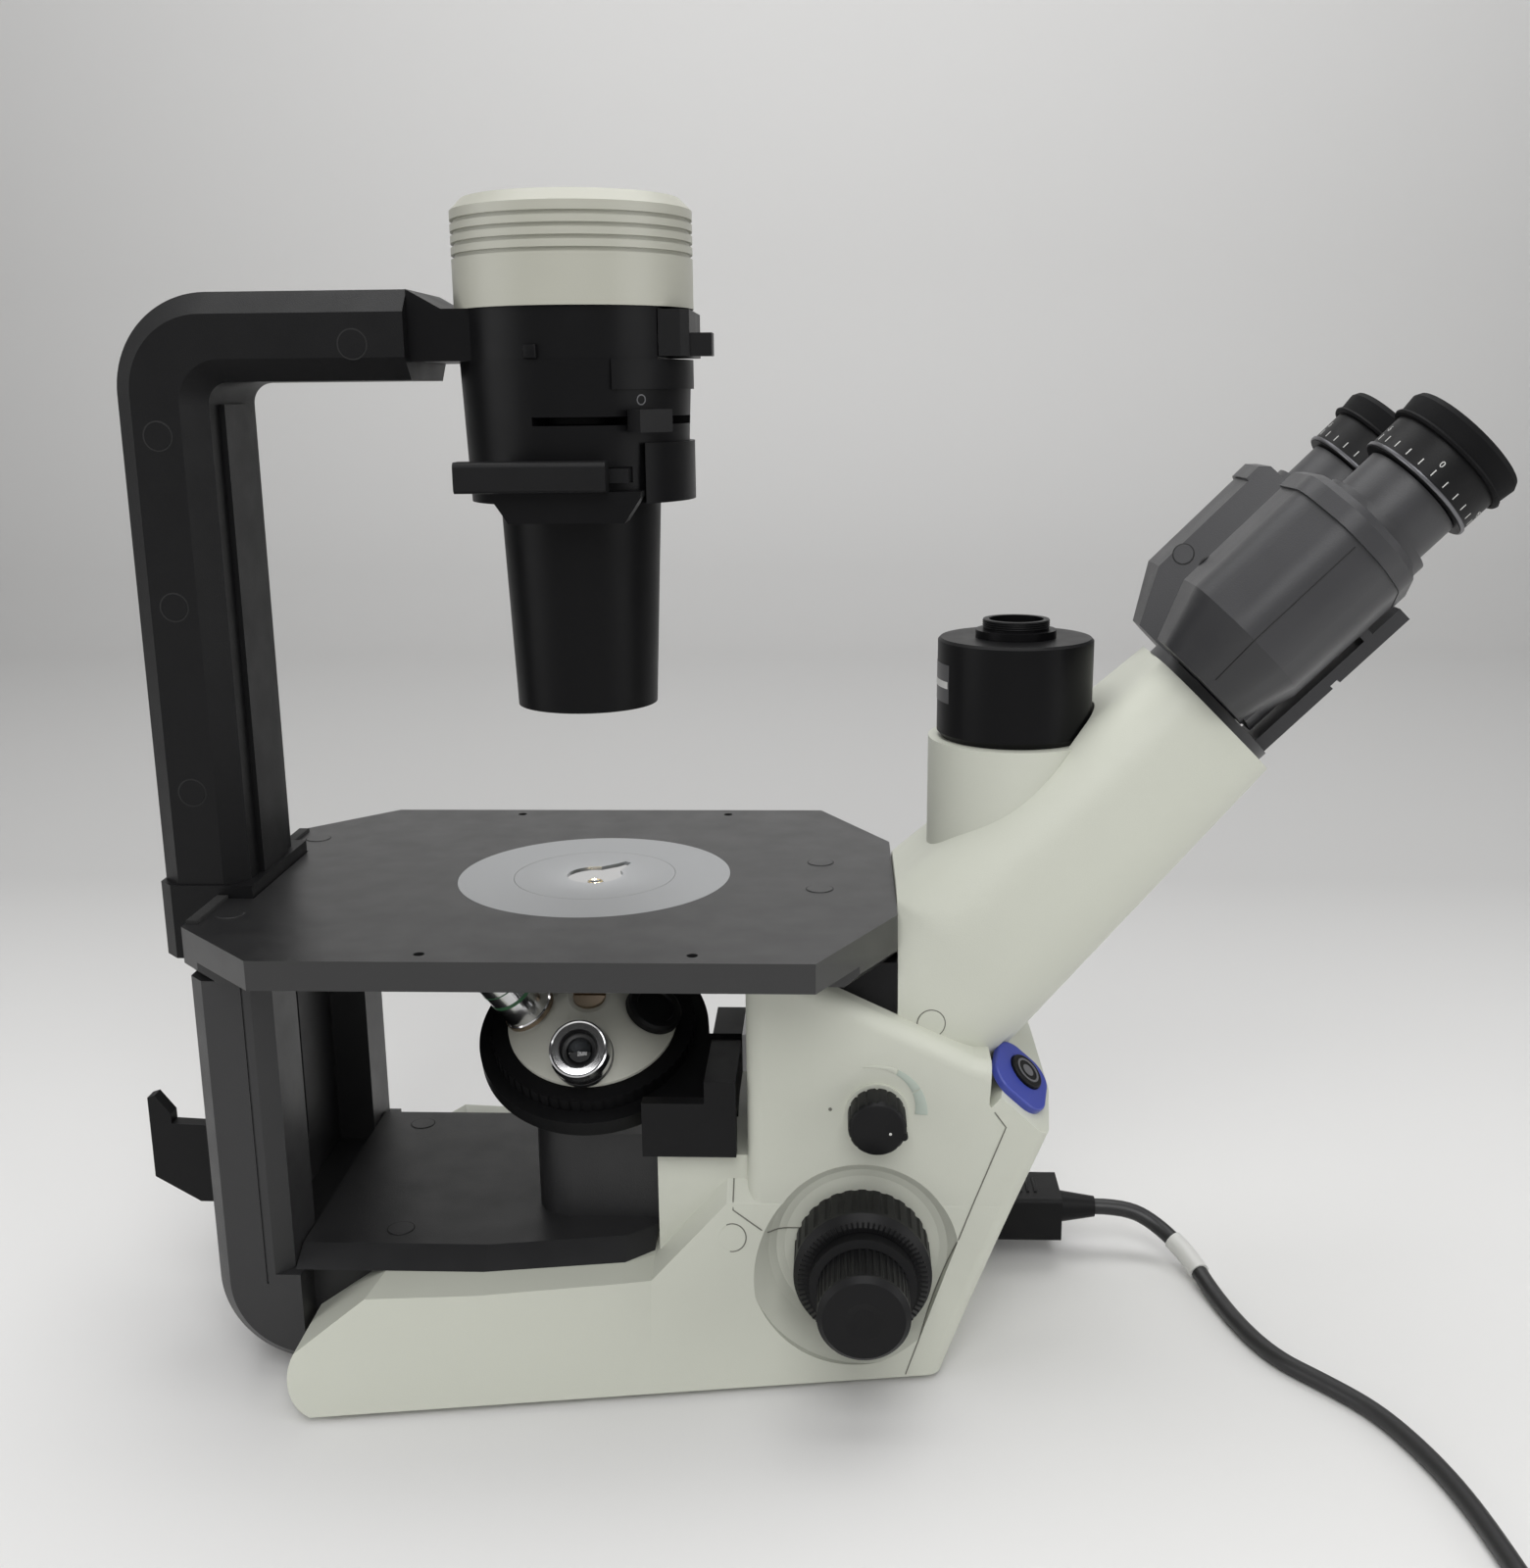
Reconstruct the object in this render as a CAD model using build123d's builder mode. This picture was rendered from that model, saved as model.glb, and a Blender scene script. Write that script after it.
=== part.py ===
"""Inverted microscope with a trinocular head, in millimetres.

+X points to the operator, +Y to the operator's right, +Z up, and the table is at Z = 0.
Lengths along X are counted from the optical axis, which stands at AXIS_X.
"""

import os
from math import cos, radians, sin, tan

from build123d import *

os.makedirs("parts", exist_ok=True)

# Shared places and clearances
AXIS_X = -77.5
GAP = 0.3
SHAFT_PLAY = 0.05
SEAT_PLAY = 0.15

# Base
FOOT_HEIGHT = 3
FOOT_RADIUS = 9
FOOT_REAR = -84
FOOT_FRONT = 120
FOOT_REAR_HALF = 76
FOOT_FRONT_HALF = 50
BASE_PLATE = 2
BASE_REAR = -108
BASE_FRONT = 139
BASE_REAR_FLARE = 41
BASE_FRONT_FLARE = 5
BASE_ROUND = 10
BASE_MARGIN = 8
LEDGE_HEIGHT = 46
LEDGE_DROP = 3
LEDGE_REAR_FLARE = 26
LEDGE_BEND_FLARE = 20
LEDGE_TURN_FLARE = 10
LEDGE_RAMP_FLARE = 7.5
RAMP_EDGE_DROP = 7
SKIRT_END_TOP = -76
SKIRT_END_MIDDLE = 25
SKIRT_ROUND = 9
FRONT_LEAN = 22
COVER_HEIGHT = 51.5
COVER_BEVEL = 11
COVER_REAR = -111.5
COVER_BEND = -38
COVER_TURN = 16
COVER_FLARE = 8
COVER_TURN_INSET = 0.5
COVER_TIP_INSET = 10
TOWER_REAR = -24
TOWER_HALF = 36
TOWER_TOP = 88
TOWER_ROUND = 16

# Upright body
BODY_HALF = 62
BODY_REAR = 64
BODY_ROUND = 6
BODY_WALL = 5
RIDGE_REAR = 78
RIDGE_FRONT = 150
RIDGE_LOW = 131.5
PANEL_TOP_X = 156
PANEL_TOP_Z = 130
SHOULDER_Z = 108
FOOT_BLOCK_REAR = 29
FOOT_BLOCK_INSET = 7
FOOT_BLOCK_TOP = 89
SEAM_HEIGHT = 79
RAMP_START = 27
RAMP_END = 56
SEAM_STEP = 18.5

# Observation tube
TUBE_FOOT_X = 117.26
TUBE_FOOT_Z = 130.76
TUBE_ANGLE = 45
TUBE_LENGTH = 175
TUBE_END_HALF_WIDTH = 37
TUBE_END_HALF_DEPTH = 29
TUBE_LOW_HALF_WIDTH = 52
TUBE_LOW_HALF_DEPTH = 41
TUBE_END_ROUND = 20
TUBE_LOW_ROUND = 30
TUBE_BORE = 22
TUBE_START_X = 121.3
SLEEVE_SETBACK = 73.5
SLEEVE_RADIUS = 33.3
SLEEVE_DROP = 11.5
SLEEVE_BORE = 22

# Camera adapter
CLAMP_RING_HEIGHT = 6
ADAPTER_RADIUS = 30
ADAPTER_HEIGHT = 39
PORT_FLANGE_RADIUS = 15.5
PORT_FLANGE_HEIGHT = 3
PORT_RADIUS = 12.7
PORT_LENGTH = 4
PORT_BORE = 10.5

# Stage
STAGE_TOP = 185
STAGE_THICKNESS = 19
STAGE_HALF = 104
STAGE_REAR = -144
STAGE_FRONT = 121
STAGE_REAR_CORNER = -107.5
STAGE_REAR_HALF = 68
STAGE_FRONT_CORNER = 91
STAGE_FRONT_HALF = 50
STAGE_BEVEL = 5
INSERT_RADIUS = 55
INSERT_THICKNESS = 3
INSERT_LEDGE = 2.5
INSERT_RING_RADIUS = 32.7
PEAR_RADIUS = 11.3
PEAR_SPOUT = [(-2, 9), (7.3, 15.9), (9.9, 19), (12.6, 17.1), (10.4, 7.6), (8, 2)]
STAGE_HOLE_X = 48
STAGE_HOLE_Y = 96
STAGE_HOLE_RADIUS = 2

# Rear frame, column and arm
LEG_REAR = -142
LEG_FRONT = -112
LEG_OUTER = 74
LEG_INNER = 43
LEG_ROUND = 36
LEG_CHAMFER = 6
BACK_WALL = 14
BACK_SLOT = 6
BLOCK_SPARE = 40
FRAME_FOOT_FRONT = -70
FRAME_FOOT_HALF = 60
FRAME_LOW = 6
BLOCK_LOW = 160
BLOCK_TOP = 190
COLUMN_REAR = -167
COLUMN_FRONT = -133
COLUMN_HALF = 32
ARM_TOP = 412.3
ARM_LOW = 380.5
ARM_END = -57
ARM_OUTER_ROUND = 36
ARM_INNER_ROUND = 8
ARM_CHAMFER = 8
ARM_COVER_HALF = 14
ARM_COVER_THICKNESS = 2
HOOK_Y = -30
HOOK_THICKNESS = 6
HOOK_REAR = -180.3
HOOK_LOW = 54.5
HOOK_TOP = 100.2
HOOK_STEM = 33
HOOK_PRONG = 9
HOOK_SLANT = 18
LEG_SEAM = -121.6
LEG_SEAM_WIDTH = 0.8
LEG_SEAM_DEPTH = 0.6

# Lamp and condenser
LAMP_RADIUS = 44.5
LAMP_LOW = 405.3
LAMP_HEIGHT = 39
LAMP_BEVEL = 4.2
LAMP_WALL = 4
GROOVE_DROP = 7.5
GROOVE_PITCH = 4.05
GROOVE_WIDTH = 1.5
GROOVE_DEPTH = 1.2
GROOVE_COUNT = 4
HOLDER_RADIUS = 43
HOLDER_LOW = 387
LIGHT_BORE = 24
LUG_HALF = 26
FILTER_FACE_REAR = 34
FILTER_FACE_FRONT = 45
FILTER_HALF = 27
FILTER_PLATE = 4
FILTER_HOLE = 22.5
FILTER_TAB = 8
CONDENSER_TOP_RADIUS = 43.3
CONDENSER_LOW_RADIUS = 41.2
CONDENSER_LOW = 336
BOSS_SHIFT = 11.5
BOSS_DROP = 3
BOSS_BEVEL = 6
BOSS_PROUD = 5
PAD_PROUD = 0.8
PAD_LOW = 357.6
PAD_HIGH = 376.5
PAD_UPPER_START = 18.5
PAD_LOWER_START = 29
SLIDER_HALF = 24
SLIDER_THICKNESS = 5
SLIDER_LOW = 344
SLIDER_REACH = 40
SLIDER_HANDLE_DEPTH = 10
SLIDER_HANDLE_LEFT = -37
SLIDER_HANDLE_RIGHT = 17
SLIDER_HANDLE_HEIGHT = 11
IRIS_HEIGHT = 365.5
IRIS_THICKNESS = 2.4
IRIS_RING = 28
IRIS_APERTURE = 16
IRIS_ANGLE = -49
IRIS_SLOT_ARC = 110
IRIS_KNOB = 8
BARREL_TOP_RADIUS = 30.6
BARREL_LOW_RADIUS = 27.3
BARREL_WALL = 4
WORKING_DISTANCE = 72
LENS_THICKNESS = 6
LED_BOARD = 3
LED_RADIUS = 6
FILTER_REACH = 30
SLIDER_APERTURE = 15
SLIDER_STEP = 25

# Nosepiece
TURRET_TILT = 27
TURRET_APEX = 92
SHOULDER_DISTANCE = 54
TURRET_RADIUS = 34
GRIP_RADIUS = 41
GRIP_LOW = 36
GRIP_HEIGHT = 6
GRIP_FLUTES = 60
CAP_RADIUS = 6.5
CAP_TOP = 57.5
STATION_RADIUS = 10
TURRET_FLOOR = 36
BRACKET_RADIUS = 46.5
BRACKET_BEVEL = 4
BRACKET_SKIRT = 5
BRACKET_THICKNESS = 6.5
PIVOT_RADIUS = 5
LIGHT_HOLE = 13
SLIDE_PLATE_REAR = 24
SLIDE_PLATE_FRONT = 60
SLIDE_PLATE_LOW = 91
SLIDE_PLATE_TOP = 113
SLIDE_PLATE_THICKNESS = 6

# Focus drive
FOCUS_X = 108
FOCUS_Z = 53
COARSE_SHAFT = 5
FINE_SHAFT = 3
COARSE_RADIUS = 26
COARSE_LENGTH = 25
FINE_RADIUS = 17
FINE_LENGTH = 18
KNOB_TIP = 111
COARSE_FLUTES = 30
FINE_FLUTES = 40
FLUTE_RADIUS = 1.6
SCOOP_RADIUS = 36
SCOOP_DEPTH = 3
SCOOP_RIM = 8
PINION_RADIUS = 6
PINION_LENGTH = 16
ROD_X = 88
ROD_Y = 14
ROD_RADIUS = 4
ROD_SEAT = 5
ROD_TOP = 146
BRIDGE_HEIGHT = 6
BRIDGE_DEPTH = 9
RACK_REACH = 14
CARRIAGE_REAR = 80
CARRIAGE_HALF = 22
CARRIAGE_LOW = 96
CARRIAGE_TOP = 136
NECK_HALF = 15
NECK_LOW = 106
NECK_TOP = 122

# Controls on the body
DIMMER_X = 113.3
DIMMER_Z = 110.5
DIMMER_RADIUS = 10.2
DIMMER_LENGTH = 13
DIMMER_BOSS = 12
DIMMER_BOSS_HEIGHT = 1.5
DIMMER_STEM = 3
BEZEL_X = 171
BEZEL_Y = -40
BEZEL_Z = 119.4
BEZEL_NORMAL = (0.65, -0.27, 0.71)
BEZEL_LENGTH = 26
BEZEL_WIDTH = 29
BEZEL_ROUND = 9.5
BEZEL_SHIFT_U = -0.4
BEZEL_SHIFT_W = -4.8
BEZEL_THICKNESS = 3
BUTTON_U = 0.7
BUTTON_W = -1.9
BUTTON_RADIUS = 7.5
BUTTON_PROUD = 1.5
BUTTON_DEPTH = 6

# Binocular head
HEAD_RADIUS = 29.5
HEAD_PLATE = 4
HINGE_RADIUS = 12
KNUCKLE_RADIUS = 19
KNUCKLE_LOW = 6
KNUCKLE_HEIGHT = 26
HUB_LENGTH = 76
EYE_RADIUS = 38.7
EYE_REST_ANGLE = 25.2
EYE_CLOSE = 25
EYE_OPEN = 10.9
LOBE_LOW = 4.5
LOBE_FULL = 26
LOBE_COLLAR = 73
LOBE_TOP = 82.5
SLEEVE_TUBE_RADIUS = 19.2
SLEEVE_TUBE_TOP = 102.5
EYEPIECE_RADIUS = 22
EYEPIECE_LOW = 103
EYEPIECE_TOP = 119.5
EYECUP_RADIUS = 24
EYECUP_TOP = 127.5
EYE_TUBE_BORE = 15
SPINE_HALF = 12
SPINE_DEPTH = 5.5
SPINE_GAP = 1.5
NOTCH_LOW = 38.5
NOTCH_HEIGHT = 3.5
NOTCH_DEPTH = 1.5
LOBE_OUTER = 65.5
LOBE_HIGH = 47.4
LOBE_END_OUTER = 48
LOBE_END_HIGH = 36.6
LOBE_ROUND = 16
LOBE_BEVEL = 3
COLLAR_PROUD = 1.2
# Corners of a prism housing, as shares of its width and height
FLOOR_INNER = 0.25
FLOOR_OUTER = 0.86
SIDE_LOW = 0.28
SIDE_HIGH = 0.66
ROOF_OUTER = 0.77
LENS_BORE = 10

# Mains lead
INLET_Y = 35
INLET_Z = 20.5
INLET_HALF_WIDTH = 17
INLET_HALF_HEIGHT = 13
INLET_REAR = 118
INLET_FRONT = 150.5
PLUG_HALF_WIDTH = 14
PLUG_HALF_HEIGHT = 10
PLUG_DEPTH = 13
PLUG_END = 197
RELIEF_END = 213
RELIEF_RADIUS = 7
CORD_RADIUS = 3.5
COIL_X = 272.5
COIL_Y = -236
COIL_RADIUS = 45.5
COIL_OUTER = 49
COIL_INNER = 28
CORD_TAIL = 16
WALL_RELIEF = 14
WALL_PLUG_HALF = 18
WALL_PLUG_LENGTH = 26
PIN_SPACING = 19
PIN_RADIUS = 2.4
PIN_LENGTH = 19

TURN = radians(TURRET_TILT)
LEAN = tan(radians(FRONT_LEAN))
STAGE_BOTTOM = STAGE_TOP - STAGE_THICKNESS
LAMP_TOP = LAMP_LOW + LAMP_HEIGHT
BASE_REAR_HALF = BODY_HALF + BASE_REAR_FLARE
BASE_FRONT_HALF = BODY_HALF + BASE_FRONT_FLARE
FOOT_BLOCK_HALF = BODY_HALF - FOOT_BLOCK_INSET
COVER_HALF = BODY_HALF + COVER_FLARE
COVER_TURN_HALF = BODY_HALF - COVER_TURN_INSET
COVER_TIP_HALF = BODY_HALF - COVER_TIP_INSET
TUBE_END_X = TUBE_FOOT_X + TUBE_LENGTH * cos(radians(TUBE_ANGLE))
TUBE_END_Z = TUBE_FOOT_Z + TUBE_LENGTH * sin(radians(TUBE_ANGLE))
SLEEVE_X = TUBE_END_X - SLEEVE_SETBACK
SLEEVE_TOP = TUBE_END_Z - SLEEVE_DROP
ADAPTER_TOP = SLEEVE_TOP + ADAPTER_HEIGHT

PLAN = Plane(origin=(AXIS_X, 0, 0))
SIDE = Plane(origin=(AXIS_X, 0, 0), x_dir=(1, 0, 0), z_dir=(0, -1, 0))
TUBE_DIRECTION = (cos(radians(TUBE_ANGLE)), 0, sin(radians(TUBE_ANGLE)))
TUBE = Plane(origin=(AXIS_X + TUBE_END_X, 0, TUBE_END_Z), x_dir=(0, 1, 0), z_dir=TUBE_DIRECTION)
TURRET = Plane(origin=(AXIS_X, 0, TURRET_APEX), x_dir=(1, 0, 0), z_dir=(0, -sin(TURN), cos(TURN)))
SLEEVE = Plane(origin=(AXIS_X + SLEEVE_X, 0, 0))
OPTICAL_AXIS = Axis((AXIS_X, 0, 0), (0, 0, 1))


def front_x(height):
    """X of the leaning front at a height above the table."""
    return BASE_FRONT + (height - FOOT_HEIGHT) * LEAN


def prism(plane, points, amount, both=False, mode=Mode.ADD):
    """Extrude a closed outline drawn on a plane."""
    with BuildSketch(plane) as outline:
        with BuildLine():
            Polyline(*points, close=True)
        make_face()
    extrude(outline.sketch, amount=amount, both=both, mode=mode)


def lathe(plane, profile, mode=Mode.ADD):
    """Turn a closed outline of (radius, height) points about the plane's own normal."""
    section = Plane(origin=plane.origin, x_dir=plane.x_dir, z_dir=-plane.y_dir)
    with BuildSketch(section) as outline:
        with BuildLine():
            Polyline(*profile, close=True)
        make_face()
    revolve(outline.sketch, axis=Axis(plane.origin, plane.z_dir), mode=mode)


def disc(plane, radius, low, high, mode=Mode.ADD):
    """A cylinder along a plane's normal between two heights."""
    with BuildSketch(plane.offset(low)) as outline:
        Circle(radius)
    extrude(outline.sketch, amount=high - low, mode=mode)


def block(x_span, y_span, z_span, mode=Mode.ADD):
    """A box given by its limits, along X from the optical axis."""
    with BuildSketch(PLAN.offset(z_span[0])) as outline:
        with Locations(((x_span[0] + x_span[1]) / 2, (y_span[0] + y_span[1]) / 2)):
            Rectangle(x_span[1] - x_span[0], y_span[1] - y_span[0])
    extrude(outline.sketch, amount=z_span[1] - z_span[0], mode=mode)


def finish(builder, name):
    """Label a finished piece and write it."""
    builder.part.label = name
    export_step(builder.part, f"parts/{name}.step")


def cross_plane(x, z):
    """A plane that looks along -Y from a point, for knobs on the operator's left."""
    return Plane(origin=(AXIS_X + x, 0, z), x_dir=(1, 0, 0), z_dir=(0, -1, 0))


# Forms that several covers are cut from

def base_half(x):
    """Half width of the base at its foot."""
    taper = (BASE_REAR_HALF - BASE_FRONT_HALF) / (BASE_FRONT - BASE_REAR)
    return BASE_REAR_HALF - (x - BASE_REAR) * taper


base_top = LEDGE_HEIGHT - LEDGE_DROP
ramp_top = SEAM_HEIGHT - RAMP_EDGE_DROP
base_nose = front_x(SEAM_HEIGHT)
# Stations along the base: place, outer edge and its height, inner edge and its height
base_stations = [
    (BASE_REAR, BODY_HALF + LEDGE_REAR_FLARE, base_top, COVER_HALF + 1, LEDGE_HEIGHT),
    (COVER_BEND, BODY_HALF + LEDGE_BEND_FLARE, base_top, COVER_HALF + GAP, LEDGE_HEIGHT),
    (COVER_TURN, BODY_HALF + LEDGE_TURN_FLARE, base_top, COVER_TURN_HALF + GAP, LEDGE_HEIGHT),
    (RAMP_START, BODY_HALF + LEDGE_RAMP_FLARE, base_top, FOOT_BLOCK_HALF, LEDGE_HEIGHT),
    (RAMP_END, BODY_HALF + GAP, ramp_top, FOOT_BLOCK_HALF, SEAM_HEIGHT),
    (base_nose, BODY_HALF, ramp_top, FOOT_BLOCK_HALF, SEAM_HEIGHT),
]

with BuildPart() as body_form:
    for place, outer, outer_height, inner, inner_height in base_stations:
        foot_half = max(base_half(place), outer + 1)
        with BuildSketch(Plane(origin=(AXIS_X + place, 0, 0), x_dir=(0, 1, 0), z_dir=(1, 0, 0))):
            with BuildLine():
                Polyline(
                    (-foot_half, FOOT_HEIGHT),
                    (-outer, outer_height),
                    (-inner, inner_height),
                    (inner, inner_height),
                    (outer, outer_height),
                    (foot_half, FOOT_HEIGHT),
                    close=True,
                )
            make_face()
    loft(ruled=True)
    nose_points = [
        (front_x(0), 0),
        (front_x(2 * SEAM_HEIGHT), 2 * SEAM_HEIGHT),
        (2 * base_nose, 2 * SEAM_HEIGHT),
        (2 * base_nose, 0),
    ]
    prism(SIDE, nose_points, 2 * BASE_REAR_HALF, both=True, mode=Mode.SUBTRACT)
    nose_edges = faces().sort_by(Axis.X)[-1].edges()
    fillet([edge for edge in nose_edges if abs(edge.center().Y) > FOOT_BLOCK_HALF + 5], BODY_ROUND)
    skirt_low = BASE_REAR + SKIRT_ROUND
    with BuildSketch(SIDE) as skirt_end:
        with BuildLine():
            Polyline(
                (BASE_REAR + 2, SKIRT_END_MIDDLE),
                (SKIRT_END_TOP, LEDGE_HEIGHT),
                (SKIRT_END_TOP, 2 * LEDGE_HEIGHT),
                (2 * BASE_REAR, 2 * LEDGE_HEIGHT),
                (2 * BASE_REAR, 0),
                (skirt_low, 0),
                (skirt_low, FOOT_HEIGHT),
            )
            ThreePointArc(
                (skirt_low, FOOT_HEIGHT),
                (BASE_REAR + 0.4, (SKIRT_END_MIDDLE + FOOT_HEIGHT) / 2),
                (BASE_REAR + 2, SKIRT_END_MIDDLE),
            )
        make_face()
    extrude(skirt_end.sketch, amount=2 * BASE_REAR_HALF, both=True, mode=Mode.SUBTRACT)

with BuildPart() as upright_form:
    upright_points = [
        (BODY_REAR, LEDGE_HEIGHT - 4),
        (BODY_REAR, STAGE_BOTTOM),
        (RIDGE_REAR, STAGE_BOTTOM),
        (RIDGE_FRONT, RIDGE_LOW),
        (PANEL_TOP_X, PANEL_TOP_Z),
        (front_x(SHOULDER_Z), SHOULDER_Z),
        (front_x(LEDGE_HEIGHT - 4), LEDGE_HEIGHT - 4),
    ]
    prism(SIDE, upright_points, BODY_HALF, both=True)
    flanks = faces().filter_by(Axis.Y)
    fillet(flanks.edges(), BODY_ROUND)

with BuildPart() as tube_form:
    with BuildSketch(TUBE):
        RectangleRounded(2 * TUBE_END_HALF_WIDTH, 2 * TUBE_END_HALF_DEPTH, TUBE_END_ROUND)
    with BuildSketch(TUBE.offset(-TUBE_LENGTH)):
        RectangleRounded(2 * TUBE_LOW_HALF_WIDTH, 2 * TUBE_LOW_HALF_DEPTH, TUBE_LOW_ROUND)
    loft()
    disc(SLEEVE, SLEEVE_RADIUS, STAGE_TOP, SLEEVE_TOP)
    block((0, TUBE_START_X), (-2 * BODY_HALF, 2 * BODY_HALF), (0, 2 * STAGE_TOP), mode=Mode.SUBTRACT)
    clamp_pocket = ADAPTER_RADIUS + 1
    disc(SLEEVE, clamp_pocket, SLEEVE_TOP, ADAPTER_TOP, mode=Mode.SUBTRACT)

with BuildPart() as cavity:
    cavity_points = [
        (BODY_REAR + BODY_WALL, FOCUS_Z - SCOOP_RADIUS),
        (BODY_REAR + BODY_WALL, STAGE_BOTTOM - 2 * BODY_WALL),
        (RIDGE_REAR, STAGE_BOTTOM - 2 * BODY_WALL),
        (RIDGE_FRONT, RIDGE_LOW - 2 * BODY_WALL),
        (front_x(SHOULDER_Z) - 4 * BODY_WALL, SHOULDER_Z - BODY_WALL),
        (front_x(FOCUS_Z - SCOOP_RADIUS) - 6 * BODY_WALL, FOCUS_Z - SCOOP_RADIUS),
    ]
    prism(SIDE, cavity_points, BODY_HALF - BODY_WALL, both=True)
    disc(TUBE, TUBE_BORE, -TUBE_LENGTH + TUBE_LOW_HALF_DEPTH, 1)
    disc(SLEEVE, SLEEVE_BORE, STAGE_TOP - 5, SLEEVE_TOP + 1)

with BuildPart() as base_zone:
    base_points = [
        (2 * BASE_REAR, -1),
        (FOCUS_X - SEAM_STEP / 2, -1),
        (FOCUS_X - SEAM_STEP / 2, FOCUS_Z - SEAM_STEP / 4),
        (FOCUS_X - SEAM_STEP, SEAM_HEIGHT - SEAM_STEP),
        (FOCUS_X - SCOOP_RADIUS, SEAM_HEIGHT - SEAM_STEP),
        (RAMP_END + BODY_WALL / 2, SEAM_HEIGHT - SEAM_STEP / 2),
        (RAMP_END + BODY_WALL / 2, SEAM_HEIGHT),
        (2 * BASE_REAR, SEAM_HEIGHT),
    ]
    prism(SIDE, base_points, 2 * BODY_HALF, both=True)

with BuildPart() as front_zone:
    front_points = [
        (PANEL_TOP_X + 1, PANEL_TOP_Z + 8),
        (PANEL_TOP_X - 0.5, SHOULDER_Z + 6),
        (PANEL_TOP_X + 6, SHOULDER_Z - 3),
        (BASE_FRONT - 15.5, -1),
        (2 * BASE_FRONT, -1),
        (2 * BASE_FRONT, PANEL_TOP_Z + 8),
    ]
    prism(SIDE, front_points, 2 * BODY_HALF, both=True)

with BuildPart() as drive_holes:
    cross = cross_plane(FOCUS_X, FOCUS_Z)
    for way in (-1, 1):
        scoop_floor = BODY_HALF - SCOOP_DEPTH
        scoop = [
            (0, way * scoop_floor),
            (SCOOP_RADIUS - 2 * SCOOP_DEPTH, way * scoop_floor),
            (SCOOP_RADIUS - SCOOP_DEPTH, way * (scoop_floor + SCOOP_DEPTH / 4)),
            (SCOOP_RADIUS, way * BODY_HALF),
            (SCOOP_RADIUS + SCOOP_RIM, way * (BODY_HALF + SCOOP_RIM)),
            (SCOOP_RADIUS + SCOOP_RIM, way * 2 * BODY_HALF),
            (0, way * 2 * BODY_HALF),
        ]
        lathe(cross, scoop)
    disc(cross, COARSE_SHAFT + SHAFT_PLAY, -BODY_HALF, BODY_HALF)

with BuildPart() as carriage_slot:
    slot_low = NECK_LOW - 14
    slot_high = NECK_TOP + 4
    block(
        (BODY_REAR - BODY_WALL, BODY_REAR + 2 * BODY_WALL),
        (-NECK_HALF - 2, NECK_HALF + 2),
        (slot_low, slot_high),
    )

with BuildPart() as inlet_form:
    block(
        (INLET_REAR, INLET_FRONT),
        (INLET_Y - INLET_HALF_WIDTH, INLET_Y + INLET_HALF_WIDTH),
        (INLET_Z - INLET_HALF_HEIGHT, INLET_Z + INLET_HALF_HEIGHT),
    )

# Base

with BuildPart() as base_housing:
    add(body_form.part)
    add(upright_form.part)
    block(
        (FOOT_BLOCK_REAR, BODY_REAR + 2),
        (-FOOT_BLOCK_HALF, FOOT_BLOCK_HALF),
        (LEDGE_HEIGHT - LEDGE_DROP, SEAM_HEIGHT),
    )
    block(
        (RAMP_START - 1, FOOT_BLOCK_REAR),
        (-TOWER_HALF - GAP, TOWER_HALF + GAP),
        (LEDGE_HEIGHT, SEAM_HEIGHT + 1),
        mode=Mode.SUBTRACT,
    )
    add(base_zone.part, mode=Mode.INTERSECT)
    add(front_zone.part, mode=Mode.SUBTRACT)
    add(cavity.part, mode=Mode.SUBTRACT)
    add(drive_holes.part, mode=Mode.SUBTRACT)
    block(
        (BASE_REAR - 1, FRAME_FOOT_FRONT + GAP),
        (-FRAME_FOOT_HALF - GAP, FRAME_FOOT_HALF + GAP),
        (FRAME_LOW - GAP, LEDGE_HEIGHT + 1),
        mode=Mode.SUBTRACT,
    )
    mirror_shaft = (TOWER_REAR + 6, FOOT_BLOCK_REAR - 8)
    shaft_half = TOWER_HALF - 8
    shaft_height = (2 * FRAME_LOW, LEDGE_HEIGHT + 1)
    block(mirror_shaft, (-shaft_half, shaft_half), shaft_height, mode=Mode.SUBTRACT)
    rod_low = FOCUS_Z - SCOOP_RADIUS - ROD_SEAT
    for side_y in (-ROD_Y, ROD_Y):
        rod_plane = Plane(origin=(AXIS_X + ROD_X, side_y, 0))
        disc(rod_plane, ROD_RADIUS, rod_low, SEAM_HEIGHT, mode=Mode.SUBTRACT)
finish(base_housing, "base_housing")

with BuildPart() as base_plate:
    with BuildSketch(PLAN.offset(FOOT_HEIGHT - BASE_PLATE)):
        with BuildLine():
            Polyline(
                (BASE_REAR + 2 * BASE_MARGIN, -BASE_REAR_HALF + BASE_MARGIN),
                (BASE_FRONT - 2 * BASE_MARGIN, -BASE_FRONT_HALF + BASE_MARGIN),
                (BASE_FRONT - 2 * BASE_MARGIN, BASE_FRONT_HALF - BASE_MARGIN),
                (BASE_REAR + 2 * BASE_MARGIN, BASE_REAR_HALF - BASE_MARGIN),
                close=True,
            )
        make_face()
        fillet(vertices(), BASE_ROUND)
    extrude(amount=BASE_PLATE)
finish(base_plate, "base_plate")

with BuildPart() as feet:
    foot_places = [
        (FOOT_REAR, -FOOT_REAR_HALF),
        (FOOT_REAR, FOOT_REAR_HALF),
        (FOOT_FRONT - 10, -FOOT_FRONT_HALF),
        (FOOT_FRONT - 10, FOOT_FRONT_HALF),
    ]
    with BuildSketch(PLAN):
        with Locations(*foot_places):
            Circle(FOOT_RADIUS)
    extrude(amount=FOOT_HEIGHT - BASE_PLATE)
finish(feet, "feet")

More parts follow.
